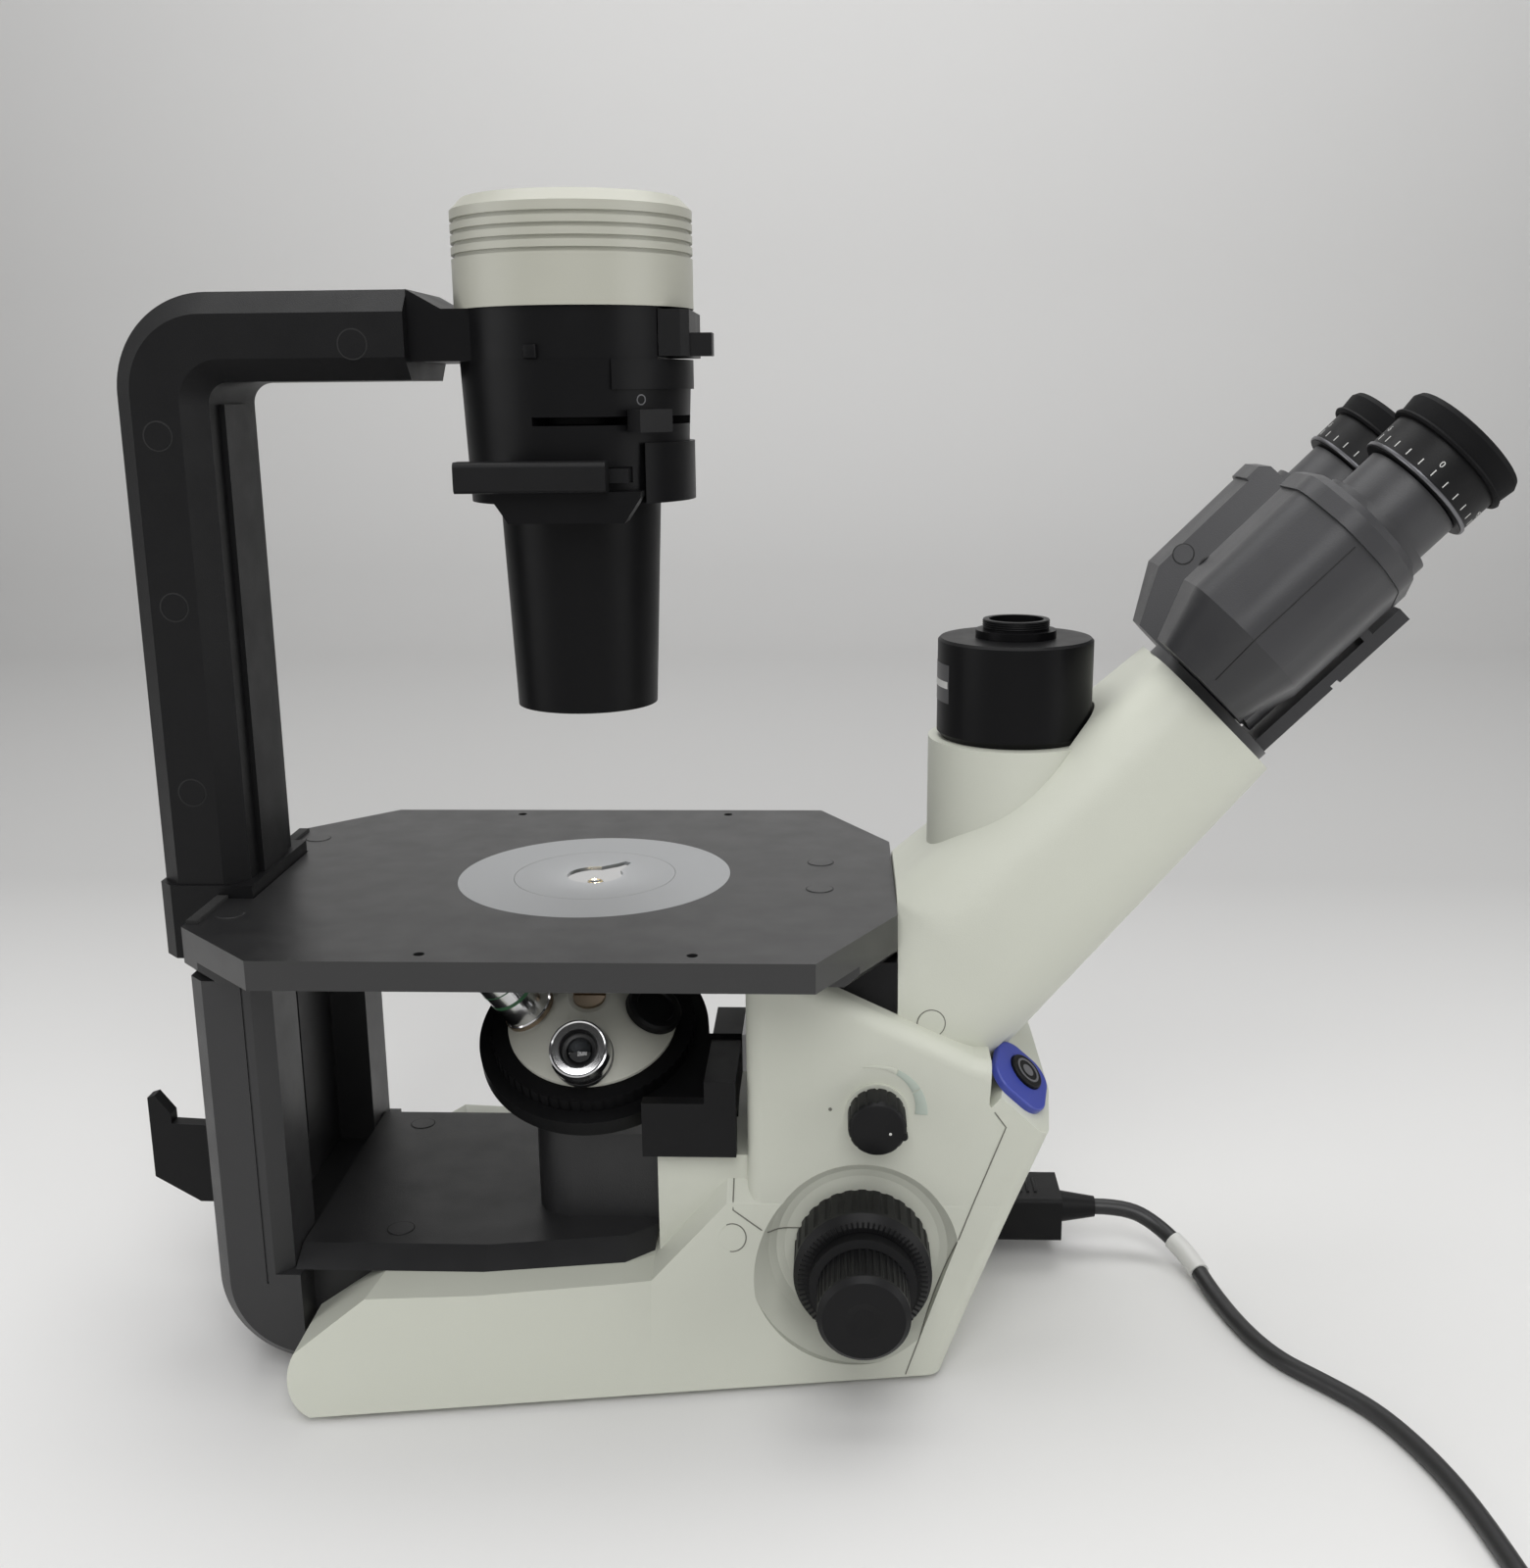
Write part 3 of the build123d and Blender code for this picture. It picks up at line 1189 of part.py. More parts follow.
filter_low = (HOLDER_LOW + LAMP_LOW) / 2 - FILTER_PLATE
with BuildPart() as lamp_holder:
    disc(PLAN, HOLDER_RADIUS, HOLDER_LOW, LAMP_LOW)
    lug_points = [
        (ARM_END, HOLDER_LOW),
        (-LIGHT_BORE, HOLDER_LOW),
        (-LIGHT_BORE, LAMP_LOW),
        (-LAMP_RADIUS, LAMP_LOW),
        (ARM_END, ARM_TOP),
    ]
    prism(SIDE, lug_points, LUG_HALF, both=True)
    block(
        (FILTER_FACE_REAR - GAP, 2 * HOLDER_RADIUS),
        (-HOLDER_RADIUS, HOLDER_RADIUS),
        (HOLDER_LOW, LAMP_LOW),
        mode=Mode.SUBTRACT,
    )
    disc(PLAN, LIGHT_BORE, HOLDER_LOW - 1, LAMP_LOW + 1, mode=Mode.SUBTRACT)
    block(
        (-FILTER_REACH - GAP, 2 * HOLDER_RADIUS),
        (-FILTER_HALF + 1 - GAP, FILTER_HALF - 1 + GAP),
        (filter_low - GAP, filter_low + FILTER_PLATE + GAP),
        mode=Mode.SUBTRACT,
    )
finish(lamp_holder, "lamp_holder")

with BuildPart() as filter_drawer:
    block(
        (FILTER_FACE_REAR, FILTER_FACE_FRONT),
        (-FILTER_HALF, FILTER_HALF),
        (HOLDER_LOW + 1, LAMP_LOW - 1),
    )
    chamfer(edges().filter_by(Axis.Z).group_by(Axis.X)[-1], 3)
    block(
        (-FILTER_REACH, FILTER_FACE_REAR),
        (-FILTER_HALF + 1, FILTER_HALF - 1),
        (filter_low, filter_low + FILTER_PLATE),
    )
    disc(PLAN, FILTER_HOLE, filter_low - 1, filter_low + FILTER_PLATE + 1, mode=Mode.SUBTRACT)
    block(
        (FILTER_FACE_FRONT, FILTER_FACE_FRONT + FILTER_TAB),
        (-FILTER_HALF + 4, -FILTER_HALF + 14),
        (HOLDER_LOW + 1, (HOLDER_LOW + LAMP_LOW) / 2),
    )
finish(filter_drawer, "filter_drawer")

with BuildPart() as condenser_pads:
    pad_radius = CONDENSER_TOP_RADIUS + PAD_PROUD
    disc(PLAN, pad_radius, CONDENSER_LOW, HOLDER_LOW)
    across = (-pad_radius, pad_radius)
    block((-pad_radius, PAD_UPPER_START), across, (CONDENSER_LOW, HOLDER_LOW), mode=Mode.SUBTRACT)
    block((0, PAD_LOWER_START), across, (CONDENSER_LOW, PAD_LOW), mode=Mode.SUBTRACT)
    block((0, pad_radius), across, (PAD_LOW, PAD_HIGH), mode=Mode.SUBTRACT)
    disc(PLAN, IRIS_RING, CONDENSER_LOW, HOLDER_LOW, mode=Mode.SUBTRACT)

with BuildPart() as condenser_body:
    lathe(PLAN, [
        (LIGHT_BORE, CONDENSER_LOW),
        (CONDENSER_LOW_RADIUS, CONDENSER_LOW),
        (CONDENSER_TOP_RADIUS, HOLDER_LOW),
        (LIGHT_BORE, HOLDER_LOW),
    ])
    add(condenser_pads.part)
    boss_rear = SLIDER_HANDLE_LEFT + BOSS_SHIFT
    boss_front = SLIDER_HANDLE_RIGHT + BOSS_SHIFT
    boss_points = [
        (boss_rear, SLIDER_LOW - BOSS_DROP),
        (boss_rear, CONDENSER_LOW + BOSS_DROP),
        (boss_rear + BOSS_BEVEL, CONDENSER_LOW - BOSS_BEVEL),
        (boss_front - BOSS_BEVEL, CONDENSER_LOW - BOSS_BEVEL),
        (boss_front, CONDENSER_LOW + BOSS_DROP),
        (boss_front, SLIDER_LOW - BOSS_DROP),
    ]
    boss_inner = BARREL_TOP_RADIUS + BOSS_DROP / 2
    prism(SIDE.offset(boss_inner), boss_points, CONDENSER_LOW_RADIUS + BOSS_PROUD - boss_inner)
    block(
        (-SLIDER_HALF - GAP, SLIDER_HALF + GAP),
        (-2 * CONDENSER_TOP_RADIUS, 2 * CONDENSER_TOP_RADIUS),
        (SLIDER_LOW - GAP, SLIDER_LOW + SLIDER_THICKNESS + GAP),
        mode=Mode.SUBTRACT,
    )
    iris_low = IRIS_HEIGHT - IRIS_THICKNESS / 2
    iris_high = IRIS_HEIGHT + IRIS_THICKNESS / 2
    disc(PLAN, IRIS_RING + GAP, iris_low - GAP, iris_high + GAP, mode=Mode.SUBTRACT)
    slot_start = radians(IRIS_ANGLE - IRIS_SLOT_ARC / 2)
    slot_end = radians(IRIS_ANGLE + IRIS_SLOT_ARC / 2)
    slot_reach = 2 * CONDENSER_TOP_RADIUS
    slot_points = [
        (0, 0),
        (slot_reach * cos(slot_start), slot_reach * sin(slot_start)),
        (2 * slot_reach * cos(radians(IRIS_ANGLE)), 2 * slot_reach * sin(radians(IRIS_ANGLE))),
        (slot_reach * cos(slot_end), slot_reach * sin(slot_end)),
    ]
    prism(PLAN.offset(iris_low - GAP), slot_points, IRIS_THICKNESS + 2 * GAP, mode=Mode.SUBTRACT)
finish(condenser_body, "condenser_body")

with BuildPart() as phase_slider:
    slider_front = -CONDENSER_TOP_RADIUS - GAP
    slider_middle = SLIDER_LOW + SLIDER_THICKNESS / 2
    block(
        (-SLIDER_HALF, SLIDER_HALF),
        (slider_front, SLIDER_REACH),
        (SLIDER_LOW, SLIDER_LOW + SLIDER_THICKNESS),
    )
    for place, radius in ((0, SLIDER_APERTURE), (SLIDER_STEP, SLIDER_APERTURE - 3)):
        aperture_plane = Plane(origin=(AXIS_X, place, 0))
        disc(aperture_plane, radius, SLIDER_LOW, SLIDER_LOW + SLIDER_THICKNESS, mode=Mode.SUBTRACT)
    block(
        (SLIDER_HANDLE_LEFT, SLIDER_HANDLE_RIGHT),
        (slider_front - SLIDER_HANDLE_DEPTH, slider_front),
        (slider_middle - SLIDER_HANDLE_HEIGHT / 2, slider_middle + SLIDER_HANDLE_HEIGHT / 2),
    )
    fillet(edges().filter_by(Axis.X).group_by(Axis.Y)[0], 2)
finish(phase_slider, "phase_slider")

with BuildPart() as iris_lever:
    disc(PLAN, IRIS_RING, iris_low, iris_high)
    lever_plane = Plane(
        origin=(AXIS_X, 0, IRIS_HEIGHT),
        x_dir=(cos(radians(IRIS_ANGLE)), sin(radians(IRIS_ANGLE)), 0),
        z_dir=(0, 0, 1),
    )
    knob_start = CONDENSER_TOP_RADIUS + 2 * GAP
    with BuildSketch(lever_plane):
        with Locations((knob_start / 2, 0)):
            Rectangle(knob_start, IRIS_KNOB - 2)
    extrude(amount=IRIS_THICKNESS / 2, both=True)
    with BuildSketch(lever_plane):
        with Locations((knob_start + IRIS_KNOB / 2, 0)):
            Rectangle(IRIS_KNOB, 2 * IRIS_KNOB - 2)
    extrude(amount=IRIS_KNOB / 2, both=True)
    disc(PLAN, IRIS_APERTURE, iris_low - 1, iris_high + 1, mode=Mode.SUBTRACT)
finish(iris_lever, "iris_lever")

barrel_low = STAGE_TOP + WORKING_DISTANCE
lens_radius = BARREL_LOW_RADIUS - BARREL_WALL
with BuildPart() as condenser_barrel:
    lathe(PLAN, [
        (lens_radius - 2, barrel_low),
        (BARREL_LOW_RADIUS, barrel_low),
        (BARREL_TOP_RADIUS, CONDENSER_LOW),
        (lens_radius + SEAT_PLAY, CONDENSER_LOW),
        (lens_radius + SEAT_PLAY, barrel_low + 1),
        (lens_radius - 2, barrel_low + 1),
    ])
finish(condenser_barrel, "condenser_barrel")

with BuildPart() as condenser_lens:
    dome = LENS_THICKNESS * 2 / 3
    dome_radius = (lens_radius**2 + dome**2) / (2 * dome)
    middle_drop = dome_radius - (dome_radius**2 - lens_radius**2 / 4) ** 0.5
    with BuildSketch(SIDE):
        with BuildLine():
            lens_low = barrel_low + 1
            Polyline(
                (0, lens_low + LENS_THICKNESS),
                (0, lens_low),
                (lens_radius, lens_low),
                (lens_radius, lens_low + LENS_THICKNESS - dome),
            )
            ThreePointArc(
                (lens_radius, lens_low + LENS_THICKNESS - dome),
                (lens_radius / 2, lens_low + LENS_THICKNESS - middle_drop),
                (0, lens_low + LENS_THICKNESS),
            )
        make_face()
    revolve(axis=OPTICAL_AXIS)
finish(condenser_lens, "condenser_lens")

# Camera adapter

clamp_top = SLEEVE_TOP + CLAMP_RING_HEIGHT

with BuildPart() as camera_clamp:
    lathe(SLEEVE, [
        (SLEEVE_BORE, SLEEVE_TOP),
        (ADAPTER_RADIUS - 2, SLEEVE_TOP),
        (ADAPTER_RADIUS, SLEEVE_TOP + 2.5),
        (ADAPTER_RADIUS, clamp_top),
        (SLEEVE_BORE, clamp_top),
    ])
finish(camera_clamp, "camera_clamp")

with BuildPart() as camera_adapter:
    flange_top = ADAPTER_TOP + PORT_FLANGE_HEIGHT
    lathe(SLEEVE, [
        (SLEEVE_BORE, clamp_top),
        (ADAPTER_RADIUS, clamp_top),
        (ADAPTER_RADIUS, ADAPTER_TOP - 1),
        (ADAPTER_RADIUS - 1, ADAPTER_TOP),
        (PORT_FLANGE_RADIUS, ADAPTER_TOP),
        (PORT_FLANGE_RADIUS, flange_top),
        (PORT_RADIUS, flange_top),
        (PORT_RADIUS, flange_top + PORT_LENGTH),
        (PORT_BORE, flange_top + PORT_LENGTH),
        (PORT_BORE, ADAPTER_TOP - 6),
        (SLEEVE_BORE, ADAPTER_TOP - 6),
    ])
finish(camera_adapter, "camera_adapter")

# Binocular head

knuckle_split = KNUCKLE_LOW + KNUCKLE_HEIGHT
knuckle_top = knuckle_split + GAP + KNUCKLE_HEIGHT
spine_top = -KNUCKLE_RADIUS - SPINE_GAP
link_clearance = (SPINE_HALF**2 + spine_top**2) ** 0.5 + GAP

with BuildPart() as head_base:
    disc(TUBE, HEAD_RADIUS, 0, HEAD_PLATE)
    disc(TUBE, HINGE_RADIUS, HEAD_PLATE, HUB_LENGTH)
    disc(TUBE, KNUCKLE_RADIUS, knuckle_top + GAP, knuckle_top + GAP + HEAD_PLATE)
    with BuildSketch(TUBE):
        with Locations((0, spine_top - SPINE_DEPTH / 2)):
            Rectangle(2 * SPINE_HALF, SPINE_DEPTH)
    extrude(amount=HUB_LENGTH)
    with BuildSketch(TUBE.offset(knuckle_top + GAP)):
        with Locations((0, spine_top + SPINE_DEPTH / 2)):
            Rectangle(2 * SPINE_HALF, SPINE_DEPTH)
    extrude(amount=HEAD_PLATE)
    with BuildSketch(TUBE.offset(NOTCH_LOW)):
        with Locations((0, spine_top - SPINE_DEPTH)):
            Rectangle(2 * SPINE_HALF, 2 * NOTCH_DEPTH)
    extrude(amount=NOTCH_HEIGHT, mode=Mode.SUBTRACT)
    disc(TUBE, EYE_TUBE_BORE / 2, -1, HUB_LENGTH - HEAD_PLATE, mode=Mode.SUBTRACT)
finish(head_base, "head_base")

eye_y = EYE_RADIUS * cos(radians(EYE_REST_ANGLE))
eye_v = EYE_RADIUS * sin(radians(EYE_REST_ANGLE))
inner_turn = radians(90 - EYE_CLOSE - 1.5)
lower_turn = radians(-90 + EYE_OPEN + 1.5)


def eye_plane(way):
    """The plane of one eyepiece, its normal along the eyepiece."""
    center = TUBE.from_local_coords((way * eye_y, eye_v, 0))
    return Plane(origin=center, x_dir=TUBE.x_dir, z_dir=TUBE.z_dir)


def lobe_section(way, distance, outer, high):
    """Outline of a prism housing: hinge side, slanting floor, rounded outer side, flat roof."""
    with BuildSketch(TUBE.offset(distance)) as outline:
        with BuildLine():
            Polyline(
                (0, 0),
                (way * KNUCKLE_RADIUS * cos(lower_turn), KNUCKLE_RADIUS * sin(lower_turn)),
                (way * FLOOR_INNER * outer, -FLOOR_INNER * outer),
                (way * FLOOR_OUTER * outer, -GAP),
                (way * outer, SIDE_LOW * high),
                (way * outer, SIDE_HIGH * high),
                (way * ROOF_OUTER * outer, high),
                (way * high / tan(inner_turn), high),
                close=True,
            )
        make_face()
        outer_corners = vertices().filter_by(lambda corner: abs(corner.X) > 0.7 * outer)
        fillet(outer_corners, LOBE_ROUND * outer / LOBE_OUTER)
    return outline.sketch


for side_name, way, ring_low in (("left", -1, KNUCKLE_LOW), ("right", 1, knuckle_split + GAP)):
    eye = eye_plane(way)
    ring_high = ring_low + KNUCKLE_HEIGHT - GAP
    with BuildPart() as prism_housing:
        full_section = lobe_section(way, LOBE_FULL, LOBE_OUTER, LOBE_HIGH)
        loft([lobe_section(way, LOBE_LOW, LOBE_END_OUTER, LOBE_END_HIGH), full_section])
        extrude(full_section, amount=LOBE_COLLAR - LOBE_FULL)
        collar_outer = LOBE_OUTER + COLLAR_PROUD
        collar_high = LOBE_HIGH + COLLAR_PROUD
        collar = lobe_section(way, LOBE_COLLAR, collar_outer, collar_high)
        extrude(collar, amount=LOBE_TOP - LOBE_COLLAR)
        lobe_faces = faces().filter_by(Plane(TUBE.origin, z_dir=TUBE.z_dir))
        lobe_end = lobe_faces.sort_by(Axis(TUBE.origin, TUBE.z_dir))[-1]
        outer_edges = [edge for edge in lobe_end.edges() if abs(edge.center().Y) > eye_y - 6]
        chamfer(outer_edges, LOBE_BEVEL)
        disc(TUBE, KNUCKLE_RADIUS + GAP, 0, LOBE_TOP, mode=Mode.SUBTRACT)
        disc(TUBE, link_clearance, knuckle_top, LOBE_TOP, mode=Mode.SUBTRACT)
        with BuildSketch(TUBE.offset(ring_low)):
            Circle(KNUCKLE_RADIUS)
            with BuildLine():
                Polyline(
                    (0, 0),
                    (way * KNUCKLE_RADIUS * cos(lower_turn), KNUCKLE_RADIUS * sin(lower_turn)),
                    (way * eye_y, -KNUCKLE_RADIUS / 4),
                    (way * eye_y, eye_v),
                    (way * 1.2 * KNUCKLE_RADIUS * cos(inner_turn), 1.2 * KNUCKLE_RADIUS * sin(inner_turn)),
                    close=True,
                )
            make_face()
        extrude(amount=ring_high - ring_low)
        disc(eye, SLEEVE_TUBE_RADIUS + 3, LOBE_TOP - 1, LOBE_TOP + 4)
        disc(eye, SLEEVE_TUBE_RADIUS, LOBE_TOP, SLEEVE_TUBE_TOP)
        disc(TUBE, HINGE_RADIUS + SHAFT_PLAY, 0, LOBE_TOP, mode=Mode.SUBTRACT)
        disc(eye, EYE_TUBE_BORE, KNUCKLE_LOW + KNUCKLE_HEIGHT, SLEEVE_TUBE_TOP, mode=Mode.SUBTRACT)
    finish(prism_housing, f"{side_name}_prism_housing")

    with BuildPart() as eyepiece:
        lathe(eye, [
            (LENS_BORE, LOBE_TOP),
            (EYE_TUBE_BORE - SHAFT_PLAY, LOBE_TOP),
            (EYE_TUBE_BORE - SHAFT_PLAY, EYEPIECE_LOW),
            (EYEPIECE_RADIUS, EYEPIECE_LOW),
            (EYEPIECE_RADIUS, EYEPIECE_TOP - 2),
            (EYEPIECE_RADIUS - 2, EYEPIECE_TOP - 2),
            (EYEPIECE_RADIUS - 2, EYEPIECE_TOP + 3),
            (LENS_BORE, EYEPIECE_TOP + 3),
        ])
    finish(eyepiece, f"{side_name}_eyepiece")

    with BuildPart() as eyecup:
        lathe(eye, [
            (EYEPIECE_RADIUS - 2, EYEPIECE_TOP - 2),
            (EYECUP_RADIUS - 1, EYEPIECE_TOP - 2),
            (EYECUP_RADIUS, EYECUP_TOP - 2),
            (EYECUP_RADIUS - 1, EYECUP_TOP),
            (EYECUP_RADIUS - 4, EYECUP_TOP),
            (LENS_BORE + 5, EYEPIECE_TOP + 4),
            (LENS_BORE + 2, EYEPIECE_TOP + 3),
            (EYEPIECE_RADIUS - 2, EYEPIECE_TOP + 3),
        ])
    finish(eyecup, f"{side_name}_eyecup")

# Mains lead

with BuildPart() as power_inlet:
    add(inlet_form.part)
    socket = Plane(origin=(AXIS_X + INLET_FRONT, INLET_Y, INLET_Z), x_dir=(0, 1, 0), z_dir=(1, 0, 0))
    with BuildSketch(socket):
        Rectangle(2 * PLUG_HALF_WIDTH + 2 * GAP, 2 * PLUG_HALF_HEIGHT + 2 * GAP)
    extrude(amount=-PLUG_DEPTH - GAP, mode=Mode.SUBTRACT)
finish(power_inlet, "power_inlet")

with BuildPart() as appliance_plug:
    with BuildSketch(socket.offset(-PLUG_DEPTH)):
        RectangleRounded(2 * PLUG_HALF_WIDTH, 2 * PLUG_HALF_HEIGHT, 2)
    extrude(amount=PLUG_END - INLET_FRONT + PLUG_DEPTH)
    plug_end = Plane(origin=(AXIS_X + PLUG_END, INLET_Y, INLET_Z), x_dir=(0, 1, 0), z_dir=(1, 0, 0))
    lathe(plug_end, [
        (0, 0),
        (RELIEF_RADIUS, 0),
        (CORD_RADIUS + 1, RELIEF_END - PLUG_END),
        (0, RELIEF_END - PLUG_END),
    ])
finish(appliance_plug, "appliance_plug")

cord_points = [
    (RELIEF_END, INLET_Y, INLET_Z),
    (227, INLET_Y, INLET_Z),
    (240, 30.5, 15),
    (251.5, 15.5, 8),
    (257, -8, CORD_RADIUS),
    (263.5, -36, CORD_RADIUS),
    (272, -55, CORD_RADIUS),
    (285, -69, CORD_RADIUS),
    (299, -86, CORD_RADIUS),
    (308.4, -109.2, CORD_RADIUS),
    (314.5, -135.3, CORD_RADIUS),
    (317.4, -168.3, CORD_RADIUS),
    (319, -203, CORD_RADIUS),
    (COIL_X + COIL_RADIUS, COIL_Y, CORD_RADIUS),
]
route = [Vector(AXIS_X + x, y, z) for x, y, z in cord_points]
runs = [after - before for before, after in zip(route, route[1:])]
corner_radii = []
for before, after in zip(runs, runs[1:]):
    shorter = min(before.length, after.length)
    corner_radii.append(0.45 * shorter / tan(radians(before.get_angle(after)) / 2))
print("cord radii", [round(radius, 1) for radius in corner_radii])

tail_start = COIL_X - (COIL_OUTER**2 - COIL_RADIUS**2) ** 0.5
tail_y = COIL_Y - COIL_RADIUS

with BuildPart() as cord_tube:
    with BuildLine() as cord_path:
        FilletPolyline(*route, radius=corner_radii)
    with BuildSketch(Plane(origin=route[0], z_dir=runs[0])):
        Circle(CORD_RADIUS)
    sweep(path=cord_path.wire())
    tail_plane = Plane(
        origin=(AXIS_X + tail_start, tail_y, 3 * CORD_RADIUS),
        x_dir=(0, 1, 0),
        z_dir=(-1, 0, 0),
    )
    disc(tail_plane, CORD_RADIUS, 0, CORD_TAIL)
finish(cord_tube, "cord_tube")
print("cord route length", round(cord_path.wire().length, 1))

with BuildPart() as cord_coil:
    with BuildSketch(Plane(origin=(AXIS_X + COIL_X, COIL_Y, 0))):
        Circle(COIL_OUTER)
        Circle(COIL_INNER, mode=Mode.SUBTRACT)
    extrude(amount=4 * CORD_RADIUS)
finish(cord_coil, "cord_coil")

with BuildPart() as wall_plug:
    lathe(tail_plane, [
        (0, CORD_TAIL),
        (CORD_RADIUS + 1, CORD_TAIL),
        (RELIEF_RADIUS, CORD_TAIL + WALL_RELIEF),
        (0, CORD_TAIL + WALL_RELIEF),
    ])
    with BuildSketch(tail_plane.offset(CORD_TAIL + WALL_RELIEF)):
        RectangleRounded(2 * WALL_PLUG_HALF, 6 * CORD_RADIUS, 4)
    extrude(amount=WALL_PLUG_LENGTH)
    with BuildSketch(tail_plane.offset(CORD_TAIL + WALL_RELIEF + WALL_PLUG_LENGTH)):
        with GridLocations(PIN_SPACING, PIN_SPACING, 2, 1):
            Circle(PIN_RADIUS)
    extrude(amount=PIN_LENGTH)
finish(wall_plug, "wall_plug")
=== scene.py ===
# %% [markdown]
# # An inverted microscope, dressed for its portrait
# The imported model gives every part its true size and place, in metres. This lesson keeps those
# parts, gives each one the finish of the real instrument, and adds what is too fine for the model:
# screw caps, knurling, scale marks, lens glass and the mains cord. It also mills the stage thin.

# %% Load the frame
from math import cos, pi, radians, sin, tau

import bpy
from mathutils import Matrix, Vector


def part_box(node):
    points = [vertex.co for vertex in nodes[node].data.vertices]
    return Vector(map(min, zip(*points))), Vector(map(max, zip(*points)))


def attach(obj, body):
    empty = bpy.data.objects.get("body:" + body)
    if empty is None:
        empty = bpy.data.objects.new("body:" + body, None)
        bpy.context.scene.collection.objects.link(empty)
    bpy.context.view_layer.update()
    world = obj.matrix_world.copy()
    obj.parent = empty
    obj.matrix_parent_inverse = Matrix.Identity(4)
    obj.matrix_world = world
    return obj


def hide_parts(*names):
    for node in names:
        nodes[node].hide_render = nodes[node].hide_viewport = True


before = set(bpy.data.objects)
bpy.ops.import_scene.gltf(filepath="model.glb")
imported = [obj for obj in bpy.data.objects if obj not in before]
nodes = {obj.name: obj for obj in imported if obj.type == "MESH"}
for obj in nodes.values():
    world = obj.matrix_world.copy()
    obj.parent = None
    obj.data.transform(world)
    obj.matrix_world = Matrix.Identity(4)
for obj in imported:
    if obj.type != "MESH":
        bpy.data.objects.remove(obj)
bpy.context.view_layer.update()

bpy.ops.object.select_all(action="DESELECT")

# %% [markdown]
# ## The camera
# The picture was taken by hand from the left side, a little above the stage and with a short lens,
# so the perspective is strong. The place and the turn of the camera were found from the stage's
# edges, the round insert and the lamp. A camera looks along its own -Z, so it is tipped up by a
# right angle less the downward tilt, then turned about the vertical, and last rolled.

# %% Camera
CAMERA_PLACE = Vector((0.0203, -0.6217, 0.3747))
CAMERA_YAW = radians(2.6)
CAMERA_TILT = radians(13.7)
CAMERA_ROLL = radians(-0.57)
FOCAL_LENGTH = 36.82
SENSOR = 36.0

camera_data = bpy.data.cameras.new("side_camera")
camera_data.sensor_fit = "VERTICAL"
camera_data.sensor_height = SENSOR
camera_data.lens = FOCAL_LENGTH
camera_data.clip_start = 0.01
camera = bpy.data.objects.new("side_camera", camera_data)
bpy.context.scene.collection.objects.link(camera)
turn = Matrix.Rotation(CAMERA_YAW, 4, "Z")
tip = Matrix.Rotation(pi / 2 - CAMERA_TILT, 4, "X")
roll = Matrix.Rotation(CAMERA_ROLL, 4, "Z")
camera.matrix_world = Matrix.Translation(CAMERA_PLACE) @ turn @ tip @ roll
bpy.context.scene.camera = camera
print("camera", tuple(round(v, 3) for v in CAMERA_PLACE))

# %% [markdown]
# ## Materials from nodes
# Every finish here is one Principled shader with a few texture nodes in front of it. They all read
# Object coordinates, which are metres in the shared frame, so a grain keeps its real size on every
# part. A noise that is barely visible in the colour, a second one in the roughness and a fine bump
# are enough to keep a painted or moulded surface from looking like a flat tone.

# %% Material helpers
DRIFT_SCALE = 14.0
GLOSS_SCALE = 60.0
GRAIN_HEIGHT = 0.0002


def new_finish(name, colour, roughness, metallic=0.0):
    """A material with one Principled shader, and the texture coordinates that feed it."""
    material = bpy.data.materials.new(name)
    material.use_nodes = True
    tree = material.node_tree
    shader = tree.nodes["Principled BSDF"]
    shader.inputs["Base Color"].default_value = (*colour, 1)
    shader.inputs["Roughness"].default_value = roughness
    shader.inputs["Metallic"].default_value = metallic
    place = tree.nodes.new("ShaderNodeTexCoord")
    return material, tree, shader, place.outputs["Object"]


def add_noise(tree, place, scale, detail=3.0):
    """A noise texture, with its scale in cells per metre."""
    noise = tree.nodes.new("ShaderNodeTexNoise")
    noise.inputs["Scale"].default_value = scale
    noise.inputs["Detail"].default_value = detail
    tree.links.new(place, noise.inputs["Vector"])
    return noise.outputs["Fac"]


def spread(tree, value, low, high):
    """Map a noise's middle range to low and high."""
    span = tree.nodes.new("ShaderNodeMapRange")
    span.inputs["From Min"].default_value = 0.3
    span.inputs["From Max"].default_value = 0.7
    span.inputs["To Min"].default_value = low
    span.inputs["To Max"].default_value = high
    tree.links.new(value, span.inputs["Value"])
    return span.outputs["Result"]


def tint(tree, value, first, second):
    """Blend two colours by a value."""
    blend = tree.nodes.new("ShaderNodeMix")
    blend.data_type = "RGBA"
    blend.inputs[6].default_value = (*first, 1)
    blend.inputs[7].default_value = (*second, 1)
    tree.links.new(value, blend.inputs["Factor"])
    return blend.outputs[2]


def add_bump(tree, shader, height, strength, distance):
    """A fine relief from a height value."""
    bump = tree.nodes.new("ShaderNodeBump")
    bump.inputs["Strength"].default_value = strength
    bump.inputs["Distance"].default_value = distance
    tree.links.new(height, bump.inputs["Height"])
    tree.links.new(bump.outputs["Normal"], shader.inputs["Normal"])


